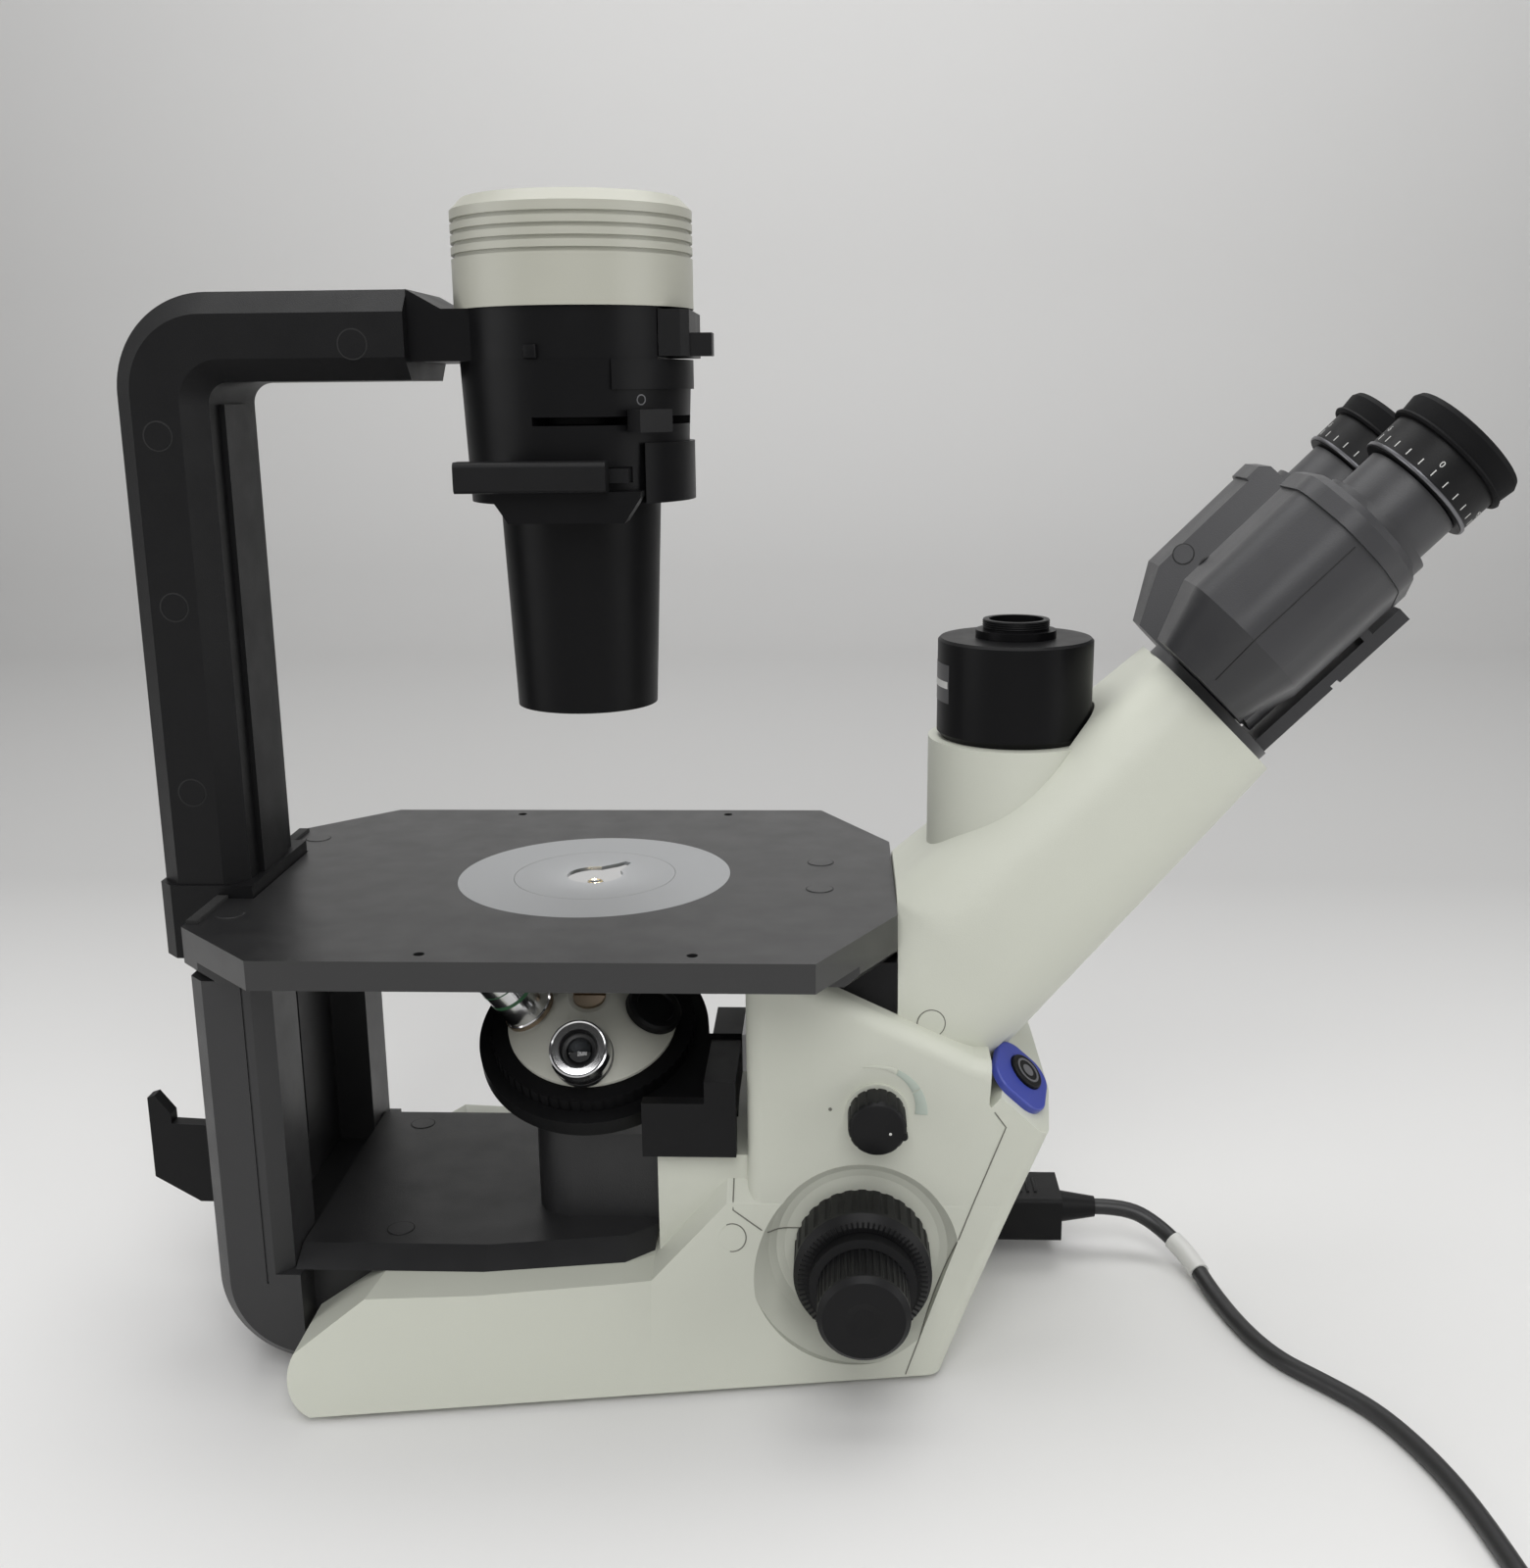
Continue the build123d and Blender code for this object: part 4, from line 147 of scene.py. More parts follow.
def textured_finish(name, colour, roughness, grain, relief, drift=0.06, metallic=0.0, shine=0.5):
    """A painted or moulded surface: slow colour drift, uneven gloss and a fine grain."""
    material, tree, shader, place = new_finish(name, colour, roughness, metallic)
    shader.inputs["Specular IOR Level"].default_value = shine
    slow = spread(tree, add_noise(tree, place, DRIFT_SCALE), 0.0, 1.0)
    darker = tuple(channel * (1 - drift) for channel in colour)
    tree.links.new(tint(tree, slow, colour, darker), shader.inputs["Base Color"])
    gloss = spread(tree, add_noise(tree, place, GLOSS_SCALE), roughness * 0.9, roughness * 1.1)
    tree.links.new(gloss, shader.inputs["Roughness"])
    add_bump(tree, shader, add_noise(tree, place, grain, 2.0), relief, GRAIN_HEIGHT)
    return material


# %% [markdown]
# ## The finishes
# The covers are cream plastic with a hint of green, and the lamp house is a slightly warmer, finer
# paint, painted darker than the covers as painted shade for the lesser light on it. The black parts
# differ by their gloss: the cast arm, frame and stage have a satin paint with a fine grain, the
# condenser and the camera tube are smooth anodised metal, and the knobs, eyepieces and cord are
# plastic or rubber.

# %% Finishes
cream = textured_finish("cream_cover", (0.60, 0.614, 0.535), 0.46, 2600.0, 0.25, 0.02)
# Painted shade: the lamp house takes the covers' cream, a little warmer and painted darker for the
# lesser light that falls on it.
lamp_cream_shaded = textured_finish("lamp_cream_shaded", (0.44, 0.44, 0.378), 0.38, 1800.0, 0.12, 0.02)
black_paint = textured_finish(
    "black_paint", (0.007, 0.007, 0.0075), 0.42, 2400.0, 0.35, 0.1, shine=0.16
)
deck_black = textured_finish("deck_black", (0.020, 0.020, 0.021), 0.42, 2400.0, 0.3, 0.08)
head_grey = textured_finish("head_grey", (0.034, 0.034, 0.037), 0.40, 2000.0, 0.25, 0.08)
stage_black = textured_finish(
    "stage_black", (0.013, 0.013, 0.0135), 0.36, 3000.0, 0.25, 0.08, shine=0.6
)
black_metal = textured_finish(
    "black_metal", (0.004, 0.004, 0.0045), 0.38, 900.0, 0.06, 0.1, shine=0.12
)
black_plastic = textured_finish(
    "black_plastic", (0.006, 0.006, 0.0065), 0.44, 1600.0, 0.2, 0.1, shine=0.18
)
rubber = textured_finish("soft_rubber", (0.005, 0.005, 0.0055), 0.62, 2000.0, 0.3, 0.1, shine=0.1)
cord_black = textured_finish("cord_black", (0.014, 0.014, 0.015), 0.42, 1200.0, 0.15, 0.2)
blue = textured_finish("blue_panel", (0.045, 0.065, 0.36), 0.32, 1500.0, 0.1, 0.1)
steel = textured_finish("ground_steel", (0.55, 0.55, 0.56), 0.30, 1500.0, 0.08, 0.05, metallic=1.0)
chrome = textured_finish("chrome", (0.72, 0.72, 0.73), 0.13, 700.0, 0.02, 0.04, metallic=1.0)
dull_brass = textured_finish("dull_brass", (0.33, 0.26, 0.19), 0.35, 1500.0, 0.1, 0.1, metallic=1.0)
turret_white = textured_finish("turret_white", (0.62, 0.62, 0.55), 0.42, 1800.0, 0.1, 0.05)
print("finishes", len(bpy.data.materials))

# %% [markdown]
# Turned aluminium has fine circles about the middle of the disc. A Wave texture in rings about the
# optical axis draws them, and it feeds the roughness and a bump.

# %% Turned aluminium
insert_low, insert_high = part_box("stage_insert")
OPTICAL_X = (insert_low.x + insert_high.x) / 2
STAGE_TOP = insert_high.z


def turned_metal(name, colour, roughness, centre_x):
    """Bare metal with turning marks in circles about a vertical axis."""
    material, tree, shader, place = new_finish(name, colour, roughness, 1.0)
    shift = tree.nodes.new("ShaderNodeMapping")
    shift.inputs["Location"].default_value = (-centre_x, 0, 0)
    tree.links.new(place, shift.inputs["Vector"])
    rings = tree.nodes.new("ShaderNodeTexWave")
    rings.wave_type = "RINGS"
    rings.rings_direction = "Z"
    rings.inputs["Scale"].default_value = 420.0
    rings.inputs["Distortion"].default_value = 1.2
    rings.inputs["Detail"].default_value = 2.0
    tree.links.new(shift.outputs["Vector"], rings.inputs["Vector"])
    gloss = spread(tree, rings.outputs["Fac"], roughness * 0.85, roughness * 1.2)
    tree.links.new(gloss, shader.inputs["Roughness"])
    add_bump(tree, shader, rings.outputs["Fac"], 0.12, 0.0001)
    return material


turned = turned_metal("turned_aluminium", (0.46, 0.47, 0.48), 0.38, OPTICAL_X)
print("stage top", round(STAGE_TOP, 4))

# %% [markdown]
# A lens is glass with a coating that tints what it reflects. The transmission is set on the shader
# itself, and only a faint noise disturbs its gloss.


# %% Glass
def lens_glass(name, colour):
    """Clear coated optical glass."""
    material, tree, shader, place = new_finish(name, colour, 0.03)
    shader.inputs["Transmission Weight"].default_value = 1.0
    shader.inputs["IOR"].default_value = 1.52
    tree.links.new(spread(tree, add_noise(tree, place, 90.0), 0.02, 0.05), shader.inputs["Roughness"])
    return material


glass = lens_glass("coated_glass", (0.80, 0.86, 0.92))
print("glass", glass.name)

# %% [markdown]
# Each part takes one finish. The table lists the parts by finish, and the loop fills their slots.

# %% Finish of each part
finish_of = {
    cream: ["base_housing", "left_cover", "right_cover", "front_cover"],
    lamp_cream_shaded: ["lamp_house", "led_board"],
    black_paint: ["nosepiece_bracket", "stage_support", "column_base", "arm", "arm_cover"],
    deck_black: ["base_cover", "rear_frame"],
    head_grey: ["head_base", "left_prism_housing", "right_prism_housing"],
    stage_black: ["stage_plate"],
    black_metal: [
        "lamp_holder", "condenser_body", "condenser_barrel", "camera_clamp", "camera_adapter",
    ],
    black_plastic: [
        "cord_hook", "filter_drawer", "phase_slider", "iris_lever", "dimmer_knob", "power_button",
        "left_coarse_knob", "right_coarse_knob", "left_fine_knob", "right_fine_knob", "turret_plug",
        "power_inlet", "appliance_plug", "wall_plug", "left_eyepiece", "right_eyepiece",
    ],
    rubber: ["feet", "left_eyecup", "right_eyecup", "turret_grip"],
    blue: ["switch_bezel"],
    steel: [
        "base_plate", "focus_shaft", "fine_shaft", "guide_rods", "rod_bridge", "focus_carriage",
        "fold_mirror",
    ],
    chrome: ["objective_in_use", "objective_long", "objective_low"],
    turned: ["stage_insert", "insert_ring"],
    dull_brass: ["turret_cap"],
    turret_white: ["turret"],
    glass: ["condenser_lens"],
}
for material, names in finish_of.items():
    for name in names:
        slots = nodes[name].data.materials
        slots.clear()
        slots.append(material)
print("dressed", sum(len(names) for names in finish_of.values()))

# %% [markdown]
# ## Ways to model the small pieces
# The model has the main shapes. What is left are fittings a few millimetres across, and nearly all
# of them are made in one of three ways. A cap or a lens is turned: a disc is extruded upwards and
# scaled, ring by ring. A ring is spun: its section goes once round an axis. A plate is cut out: its
# outline is filled and extruded. Each is made about the Z axis at the origin, and `set_down` then
# lays it on the surface that carries it and keeps that place in the mesh.


# %% Picking and setting down
def pick(piece):
    """Select one object alone and make it the active one."""
    bpy.ops.object.select_all(action="DESELECT")
    piece.select_set(True)
    bpy.context.view_layer.objects.active = piece


def set_down(piece, place, along, across=None):
    """Lay a piece that was made about Z on a place, its Z along a direction and its X across it."""
    along = Vector(along).normalized()
    if across is None:
        turn = UP.rotation_difference(along).to_matrix()
    else:
        across = Vector(across) - along * along.dot(Vector(across))
        across.normalize()
        turn = Matrix((across, along.cross(across), along)).transposed()
    piece.matrix_world = Matrix.Translation(Vector(place)) @ turn.to_4x4()
    pick(piece)
    bpy.ops.object.transform_apply(location=True, rotation=True, scale=True)
    return piece


def carry(piece, body, slot, *finishes):
    """Smooth a piece, dress it, and let it ride on its body."""
    pick(piece)
    bpy.ops.object.shade_smooth_by_angle(angle=SMOOTH_ANGLE)
    for finish in finishes:
        piece.data.materials.append(finish)
    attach(piece, body)
    return piece


def copy_of(pattern, name):
    """A copy of a pattern with a mesh of its own."""
    pick(pattern)
    bpy.ops.object.duplicate()
    piece = bpy.context.object
    piece.name = name
    return piece


def drop(pattern):
    """Delete a pattern once its copies are made."""
    pick(pattern)
    bpy.ops.object.delete()


def meet(name, start, direction):
    """Where a ray first meets a part, and the surface's normal there."""
    hit, place, normal, _ = nodes[name].ray_cast(Vector(start), Vector(direction).normalized())
    if not hit:
        raise ValueError(f"no surface of {name} there")
    return place, normal


def choose(piece, kind, test):
    """Enter edit mode with only those faces or vertices selected that pass a test."""
    pick(piece)
    bpy.ops.object.mode_set(mode="EDIT")
    bpy.ops.mesh.select_mode(type=kind)
    bpy.ops.mesh.select_all(action="DESELECT")
    bpy.ops.object.mode_set(mode="OBJECT")
    for item in piece.data.polygons if kind == "FACE" else piece.data.vertices:
        item.select = test(item)
    bpy.ops.object.mode_set(mode="EDIT")


MM = 0.001
MERGE_DISTANCE = 1e-6
SMOOTH_ANGLE = radians(35)
SIDES = (("left", -1), ("right", 1))
UP = Vector((0, 0, 1))
ACROSS = Vector((1, 0, 0))
bpy.context.view_layer.update()
print("pieces are laid on", len(nodes), "parts")


# %% Turned, spun and cut pieces
def start_circle(name, count, radius, fill="NGON"):
    """A new circle about the origin, as the first outline of a piece."""
    bpy.ops.object.select_all(action="DESELECT")
    bpy.ops.mesh.primitive_circle_add(vertices=count, radius=radius * MM, fill_type=fill)
    bpy.context.object.name = name
    return bpy.context.object


def edit_all(piece):
    """Enter edit mode with the whole mesh selected."""
    pick(piece)
    bpy.ops.object.mode_set(mode="EDIT")
    bpy.ops.mesh.select_all(action="SELECT")


def close_mesh():
    """Turn every face outwards and leave edit mode."""
    bpy.ops.mesh.select_all(action="SELECT")
    bpy.ops.mesh.normals_make_consistent(inside=False)
    bpy.ops.object.mode_set(mode="OBJECT")


def turned_piece(name, rings, steps=48):
    """Extrude a disc upwards ring by ring; a ring is a radius and a height in millimetres."""
    radius, height = rings[0]
    piece = start_circle(name, steps, radius)
    edit_all(piece)
    bpy.ops.transform.translate(value=(0, 0, height * MM))
    for next_radius, next_height in rings[1:]:
        rise = (next_height - height) * MM
        bpy.ops.mesh.extrude_region_move(TRANSFORM_OT_translate={"value": (0, 0, rise)})
        grow = next_radius / radius
        bpy.ops.transform.resize(value=(grow, grow, 1), center_override=(0, 0, next_height * MM))
        radius, height = next_radius, next_height
    close_mesh()
    return piece


def spun_piece(name, section, steps=64, sweep=tau):
    """Spin a closed section of radius and height corners, in millimetres, round the Z axis."""
    piece = start_circle(name, len(section), 1, "NOTHING")
    for vertex, (radius, height) in zip(piece.data.vertices, section):
        vertex.co = (radius * MM, 0, height * MM)
    edit_all(piece)
    bpy.ops.mesh.spin(steps=steps, angle=sweep, center=(0, 0, 0), axis=(0, 0, 1))
    bpy.ops.mesh.select_all(action="SELECT")
    bpy.ops.mesh.remove_doubles(threshold=MERGE_DISTANCE)
    if sweep < tau:
        bpy.ops.mesh.fill_holes(sides=0)
    close_mesh()
    return piece


def cut_plate(name, outline, low, high, edge=0.0):
    """Fill an outline in the XY plane and extrude it, with an optional rounded upper edge."""
    piece = start_circle(name, len(outline), 1)
    for vertex, (across, up) in zip(piece.data.vertices, outline):
        vertex.co = (across * MM, up * MM, low * MM)
    edit_all(piece)
    bpy.ops.mesh.extrude_region_move(TRANSFORM_OT_translate={"value": (0, 0, (high - low) * MM)})
    if edge:
        bpy.ops.mesh.bevel(offset=edge * MM, segments=2, affect="EDGES")
    close_mesh()
    return piece


def spin_copies(piece, count, sweep):
    """Copy a piece round the Z axis, so that there are count of it over the sweep."""
    edit_all(piece)
    bpy.ops.mesh.spin(steps=count - 1, dupli=True, angle=sweep, center=(0, 0, 0), axis=(0, 0, 1))
    bpy.ops.object.mode_set(mode="OBJECT")


def oblong(left, right, low, high):
    """The outline of a rectangle."""
    return [(left, low), (right, low), (right, high), (left, high)]


print("three ways to make a small piece")

# %% [markdown]
# ## The mains cord
# The cord leaves the plug on the far side, drops to the table and wanders towards the camera in
# loose bends. Its unseen length lies coiled just below the picture. One NURBS spline with the
# route's own points gives a smooth line: it cuts inside the corners as a real cord does. The coil's
# turns are more points of the same spline, spiralling in on the table and out again one layer up.

# %% Cord
CORD_RADIUS = 0.0035
coil_low, coil_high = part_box("cord_coil")
coil_centre = (coil_low + coil_high) / 2
plug_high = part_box("appliance_plug")[1]
inlet_low, inlet_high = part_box("power_inlet")
COLUMN_RADII = (0.0455, 0.0385, 0.0315)
POINTS_PER_TURN = 16
inlet_middle = (inlet_low + inlet_high) / 2
exit_point = Vector((plug_high.x, inlet_middle.y, inlet_middle.z))
DROP_POINTS = [(0.240, 0.0305, 0.015), (0.2515, 0.0155, 0.008)]
TABLE_POINTS = [
    (0.257, -0.008), (0.2635, -0.036), (0.272, -0.055), (0.285, -0.069), (0.299, -0.086),
    (0.3084, -0.1092), (0.3145, -0.1353), (0.3174, -0.1683), (0.319, -0.203),
]
route = [exit_point, Vector((OPTICAL_X + 0.227, exit_point.y, exit_point.z))]
route += [Vector((OPTICAL_X + x, y, z)) for x, y, z in DROP_POINTS]
route += [Vector((OPTICAL_X + x, y, CORD_RADIUS)) for x, y in TABLE_POINTS]
turn_points = []
step = tau / POINTS_PER_TURN
inside = (1 + cos(step)) / 2
hop = POINTS_PER_TURN // 6
columns = list(COLUMN_RADII) + list(reversed(COLUMN_RADII))
layers = [CORD_RADIUS] * len(COLUMN_RADII) + [3 * CORD_RADIUS] * len(COLUMN_RADII)
turn_count = len(columns) - 1
for index in range(turn_count * POINTS_PER_TURN + POINTS_PER_TURN // 4 + 1):
    lap, place = divmod(index, POINTS_PER_TURN)
    share = max(0.0, (place - (POINTS_PER_TURN - hop)) / hop)
    following = min(lap + 1, turn_count)
    radius = columns[lap] + (columns[following] - columns[lap]) * share
    height = layers[lap] + (layers[following] - layers[lap]) * share
    angle = -index * step
    reach = Vector((cos(angle), sin(angle), 0)) * (radius / inside)
    turn_points.append(Vector((coil_centre.x + reach.x, coil_centre.y + reach.y, height)))
wall_low, wall_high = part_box("wall_plug")
tail_start = coil_centre.x - 0.016
tail_y = (wall_low.y + wall_high.y) / 2
tail = [Vector((x, tail_y, layers[-1])) for x in (tail_start, wall_high.x)]


def draw_line(name, points, radius, kind, roundness):
    """A round line through points: smooth if its kind is NURBS, angular and closed if it is POLY."""
    curve = bpy.data.curves.new(name, "CURVE")
    curve.dimensions = "3D"
    curve.bevel_depth = radius
    curve.bevel_resolution = roundness
    curve.resolution_u = 6
    curve.use_fill_caps = kind == "POLY"
    spline = curve.splines.new(kind)
    spline.points.add(len(points) - 1)
    for point, place in zip(spline.points, points):
        point.co = (*place, 1)
    spline.order_u = 3
    spline.use_endpoint_u = kind == "NURBS"
    piece = bpy.data.objects.new(name, curve)
    bpy.context.scene.collection.objects.link(piece)
    return piece


cord = draw_line("mains_cord", route + turn_points + tail, CORD_RADIUS, "NURBS", 4)
cord.data.materials.append(cord_black)
print("cord points", len(route), "coil points", len(turn_points))

# %% [markdown]
# A blank white sleeve is slipped over the cord near the plug, and a strap holds the coil together.
# The sleeve follows points of the cord's own spline, read from the same curve without its thickness.
# The strap is a plate with the bundle's outline; its two flat ends are deleted, and Solidify gives
# the band that is left its thickness.

# %% Sleeve and tie
SLEEVE_FROM, SLEEVE_TO = 0.004, 0.025
SLEEVE_WALL = 0.0008
sleeve_white = textured_finish("sleeve_white", (0.66, 0.66, 0.64), 0.4, 1200.0, 0.1, 0.05)
line = draw_line("cord_line", route, 0.0, "NURBS", 4)
bpy.context.view_layer.update()
line_points = [vertex.co.copy() for vertex in bpy.data.meshes.new_from_object(line).vertices]
span = [point for point in line_points if SLEEVE_FROM < point.y < SLEEVE_TO]
drop(line)
pick(draw_line("cord_sleeve", span, CORD_RADIUS + SLEEVE_WALL, "POLY", 5))
bpy.ops.object.convert(target="MESH")
cord_sleeve = carry(bpy.context.object, "frame", "white_plastic", sleeve_white)

BUNDLE_CORNER = 2.0
TIE_HALF_WIDTH = 3.5
inner = (COLUMN_RADII[-1] - CORD_RADIUS) / MM - 0.8
outer = (COLUMN_RADII[0] + CORD_RADIUS) / MM - 0.2
top = 4 * CORD_RADIUS / MM - 0.1
bundle = [
    (inner, BUNDLE_CORNER), (inner + BUNDLE_CORNER, 0.1),
    (outer - BUNDLE_CORNER, 0.1), (outer, BUNDLE_CORNER),
    (outer, top - BUNDLE_CORNER), (outer - BUNDLE_CORNER, top),
    (inner + BUNDLE_CORNER, top), (inner, top - BUNDLE_CORNER),
]
coil_tie = cut_plate("coil_tie", bundle, -TIE_HALF_WIDTH, TIE_HALF_WIDTH)
choose(coil_tie, "FACE", lambda face: abs(face.normal.z) > 0.9)
bpy.ops.mesh.delete(type="FACE")
bpy.ops.object.mode_set(mode="OBJECT")
band = coil_tie.modifiers.new("band", "SOLIDIFY")
band.thickness = 0.9 * MM
band.offset = -1.0
bpy.ops.object.modifier_apply(modifier="band")
TIE_TURN = radians(115)
tie_out = Vector((cos(TIE_TURN), sin(TIE_TURN), 0))
set_down(coil_tie, (coil_centre.x, coil_centre.y, 0), tie_out.cross(UP), tie_out)
carry(coil_tie, "frame", "black_rubber", rubber)
print("sleeve points", len(span), "tie faces", len(coil_tie.data.polygons))

# %% [markdown]
# ## Grip of the appliance plug
# The plug is pulled by its ribbed top. One rib is cut out as a narrow plate, then copied along it.

# %% Plug grip
PLUG_RIB_COUNT = 6
PLUG_RIB_START = 170.0
PLUG_RIB_PITCH = 3.2
rib_pattern = cut_plate("plug_rib_pattern", oblong(-0.6, 0.6, -6.5, 6.5), -0.5, 0.55, 0.25)
for index in range(PLUG_RIB_COUNT):
    across = OPTICAL_X + (PLUG_RIB_START + PLUG_RIB_PITCH * index) * MM
    place, normal = meet("appliance_plug", (across, exit_point.y, 0.1), -UP)
    rib = set_down(copy_of(rib_pattern, f"plug_rib_{index}"), place, normal, ACROSS)
    carry(rib, "frame", "black_plastic", black_plastic)
drop(rib_pattern)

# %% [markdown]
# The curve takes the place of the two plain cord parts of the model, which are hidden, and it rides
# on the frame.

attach(cord, "frame")
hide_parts("cord_tube", "cord_coil")

# %% [markdown]
# ## Screw caps
# Round caps close the screw holes in the arm, the stage, the base cover and the covers. What the eye
# sees is a disc that stands a hair proud, with a gap round it that is dark with shade. One turned cap
# has both: its outer step is the gap, and the faces out there take a darker finish, painted shade
# for the gap. The black and the white caps are copies of that one, and each is laid on the surface
# where a ray meets it.

# %% Screw caps
CAP_RADIUS = 5.1
GAP_WIDTH = 0.45
# The dark and grey steps round the caps are painted shade for their gaps; the same two finishes also
# draw the dark joint lines of the seams and the printed off dot.
gap_shade_and_joint_dark = textured_finish("gap_shade_and_joint_dark", (0.004, 0.004, 0.004), 0.7, 900.0, 0.1, 0.2)
gap_shade_joint_and_print_grey = textured_finish("gap_shade_joint_and_print_grey", (0.16, 0.16, 0.135), 0.6, 900.0, 0.1, 0.1)


def make_cap(name, radius):
    """A low cap with a step round it, painted dark as painted shade for its gap."""
    cap = turned_piece(name, [
        (radius + GAP_WIDTH, -0.8),
        (radius + GAP_WIDTH, 0.05),
        (radius, 0.05),
        (radius, 0.16),
        (radius - 0.12, 0.26),
    ])
    # The faces of the outer step, out past the cap and low down, take the second finish: the painted
    # shade of the gap.
    for face in cap.data.polygons:
        reach = Vector((face.center.x, face.center.y)).length / MM
        face.material_index = int(reach > radius and face.center.z < 0.1 * MM)
    return cap


cap_pattern = make_cap("cap_pattern", CAP_RADIUS)
ARM_CAPS = [(-75.8, 393.2), (-150, 361.5), (-150, 298.7), (-150, 227.1)]
cap_rays = []
for side in (-1, 1):
    for across, height in ARM_CAPS:
        cap_rays.append(("arm", (across, 300 * side, height), (0, -side, 0), black_paint, gap_shade_and_joint_dark))
    cap_rays.append(("stage_plate", (-131, 53.3 * side, 300), -UP, stage_black, gap_shade_and_joint_dark))
    cap_rays.append(("stage_plate", (91.5, 18.3 * side, 300), -UP, stage_black, gap_shade_and_joint_dark))
    cover = "left_cover" if side < 0 else "right_cover"
    cap_rays.append((cover, (134, 300 * side, 141.8), (0, -side, 0), cream, gap_shade_joint_and_print_grey))
    cap_rays.append(("base_housing", (58.2, 300 * side, 59.4), (0, -side, 0), cream, gap_shade_joint_and_print_grey))
cap_rays.append(("base_cover", (-75.8, -47.5, 300), -UP, deck_black, gap_shade_and_joint_dark))
cap_rays.append(("base_cover", (-90.7, 46.9, 300), -UP, deck_black, gap_shade_and_joint_dark))
for number, (name, start, direction, finish, gap) in enumerate(cap_rays):
    start = Vector((OPTICAL_X + start[0] * MM, start[1] * MM, start[2] * MM))
    place, normal = meet(name, start, direction)
    cap = set_down(copy_of(cap_pattern, f"screw_cap_{number:02d}"), place, normal)
    carry(cap, "frame", "white_plastic" if finish is cream else "black_plastic", finish, gap)
drop(cap_pattern)
print("caps", len(cap_rays))

# %% [markdown]
# The inner face of each prism housing has such a cap too, over the screw of its prism mount. It rides
# on the housing, so it folds with it.

# %% Housing caps
SMALL_CAP_RADIUS = 3.9
HOUSING_POINT = (235.0, 22.1, 311.2)
HOUSING_LOOK = (145.0, -400.0, 401.2)
small_cap = make_cap("small_cap", SMALL_CAP_RADIUS)
for name, side in SIDES:
    start, target = (
        Vector((OPTICAL_X + x * MM, y * MM * side, z * MM))
        for x, y, z in (HOUSING_LOOK, HOUSING_POINT)
    )
    place, normal = meet(f"{name}_prism_housing", start, target - start)
    cap = set_down(copy_of(small_cap, f"{name}_prism_housing_cap"), place, normal)
    carry(cap, f"{name}_tube", "black_plastic", head_grey, gap_shade_and_joint_dark)
drop(small_cap)
print("housing caps", len(SIDES))

# %% [markdown]
# ## Seams
# Where two mouldings meet, there is a fine dark line. A wire laid along the joint and sunk to
# its middle gives the same line from every side, and it needs no cut in the parts. Its points come
# from rays, so it follows the curved flank.


# %% Seam helper
def seam_line(name, points, radius, finish, body, slot):
    """A fine line along points on a surface, made from a curve and turned into a mesh."""
    pick(draw_line(name, points, radius * MM, "POLY", 1))
    bpy.ops.object.convert(target="MESH")
    return carry(bpy.context.object, body, slot, finish)


def flank_points(names, corners, side, spacing):
    """Points every few millimetres along a polyline of x and z, laid on the nearest named part."""
    places = []
    for (x0, z0), (x1, z1) in zip(corners, corners[1:]):
        count = max(2, int(Vector((x1 - x0, z1 - z0)).length / spacing))
        for step_index in range(count + 1):
            share = step_index / count
            x, z = x0 + (x1 - x0) * share, z0 + (z1 - z0) * share
            start = Vector((OPTICAL_X + x * MM, 0.3 * side, z * MM))
            best = None
            for name in names:
                hit, place, _, _ = nodes[name].ray_cast(start, Vector((0, -side, 0)))
                if hit and (best is None or abs(place.y) > abs(best.y)):
                    best = place
            if best is not None:
                places.append(best.copy())
    return places


print("seam helpers")

# %% Seams of the covers
BASE_SEAM = [(58.5, 79), (58.5, 69.75), (72, 60.5), (86.5, 60.5)]
FRONT_SEAM = [(155.5, 114), (162, 105), (125, 4)]
SEAM_SPACING = 3.0
for cover, side in SIDES:
    for name, corners in (("base_seam", BASE_SEAM), ("front_seam", FRONT_SEAM)):
        skins = ["base_housing", "front_cover", f"{cover}_cover"]
        places = flank_points(skins, corners, side, SEAM_SPACING)
        seam_line(f"{cover}_{name}", places, 0.28, gap_shade_joint_and_print_grey, "frame", "white_plastic")
print("cover seams", 4)

# %% [markdown]
# Each prism housing is two shells. Their seam runs along the outer flank from the flange to the
# collar. Here the line is given in the head's own directions: along the tube, up from its axis and
# sideways.

# %% Seams of the prism housings
SLANT = radians(45)
TUBE_END = Vector((OPTICAL_X + 241.0 * MM, 0, 254.5 * MM))
TUBE_ALONG = Vector((cos(SLANT), 0, sin(SLANT)))
TUBE_UP = Vector((-sin(SLANT), 0, cos(SLANT)))
SHELL_SEAM = [(8, 19.2), (26, 24.4), (71, 24.4)]


def head_point(sideways, up, along):
    """A point of the head, in millimetres from the middle of the tube's end."""
    rise = TUBE_UP * (up * MM) + TUBE_ALONG * (along * MM)
    return TUBE_END + Vector((0, sideways * MM, 0)) + rise


for name, side in SIDES:
    housing = f"{name}_prism_housing"
    places = []
    for (along0, up0), (along1, up1) in zip(SHELL_SEAM, SHELL_SEAM[1:]):
        for share in (0, 0.25, 0.5, 0.75, 1):
            up, along = up0 + (up1 - up0) * share, along0 + (along1 - along0) * share
            places.append(meet(housing, head_point(200 * side, up, along), (0, -side, 0))[0])
    seam_line(f"{housing}_seam", places, 0.22, gap_shade_and_joint_dark, f"{name}_tube", "black_plastic")
print("housing seams", len(SIDES))

# %% [markdown]
# ## Eyepieces
# A satin ring sits at the foot of each eyepiece, and above it a scale of eleven strokes with the
# numbers of the diopter setting. The strokes are one small bar that Spin copies round the axis. The
# numbers are text objects, made into a mesh before they are laid on the barrel. The eye lens is a
# shallow dome in the bore.

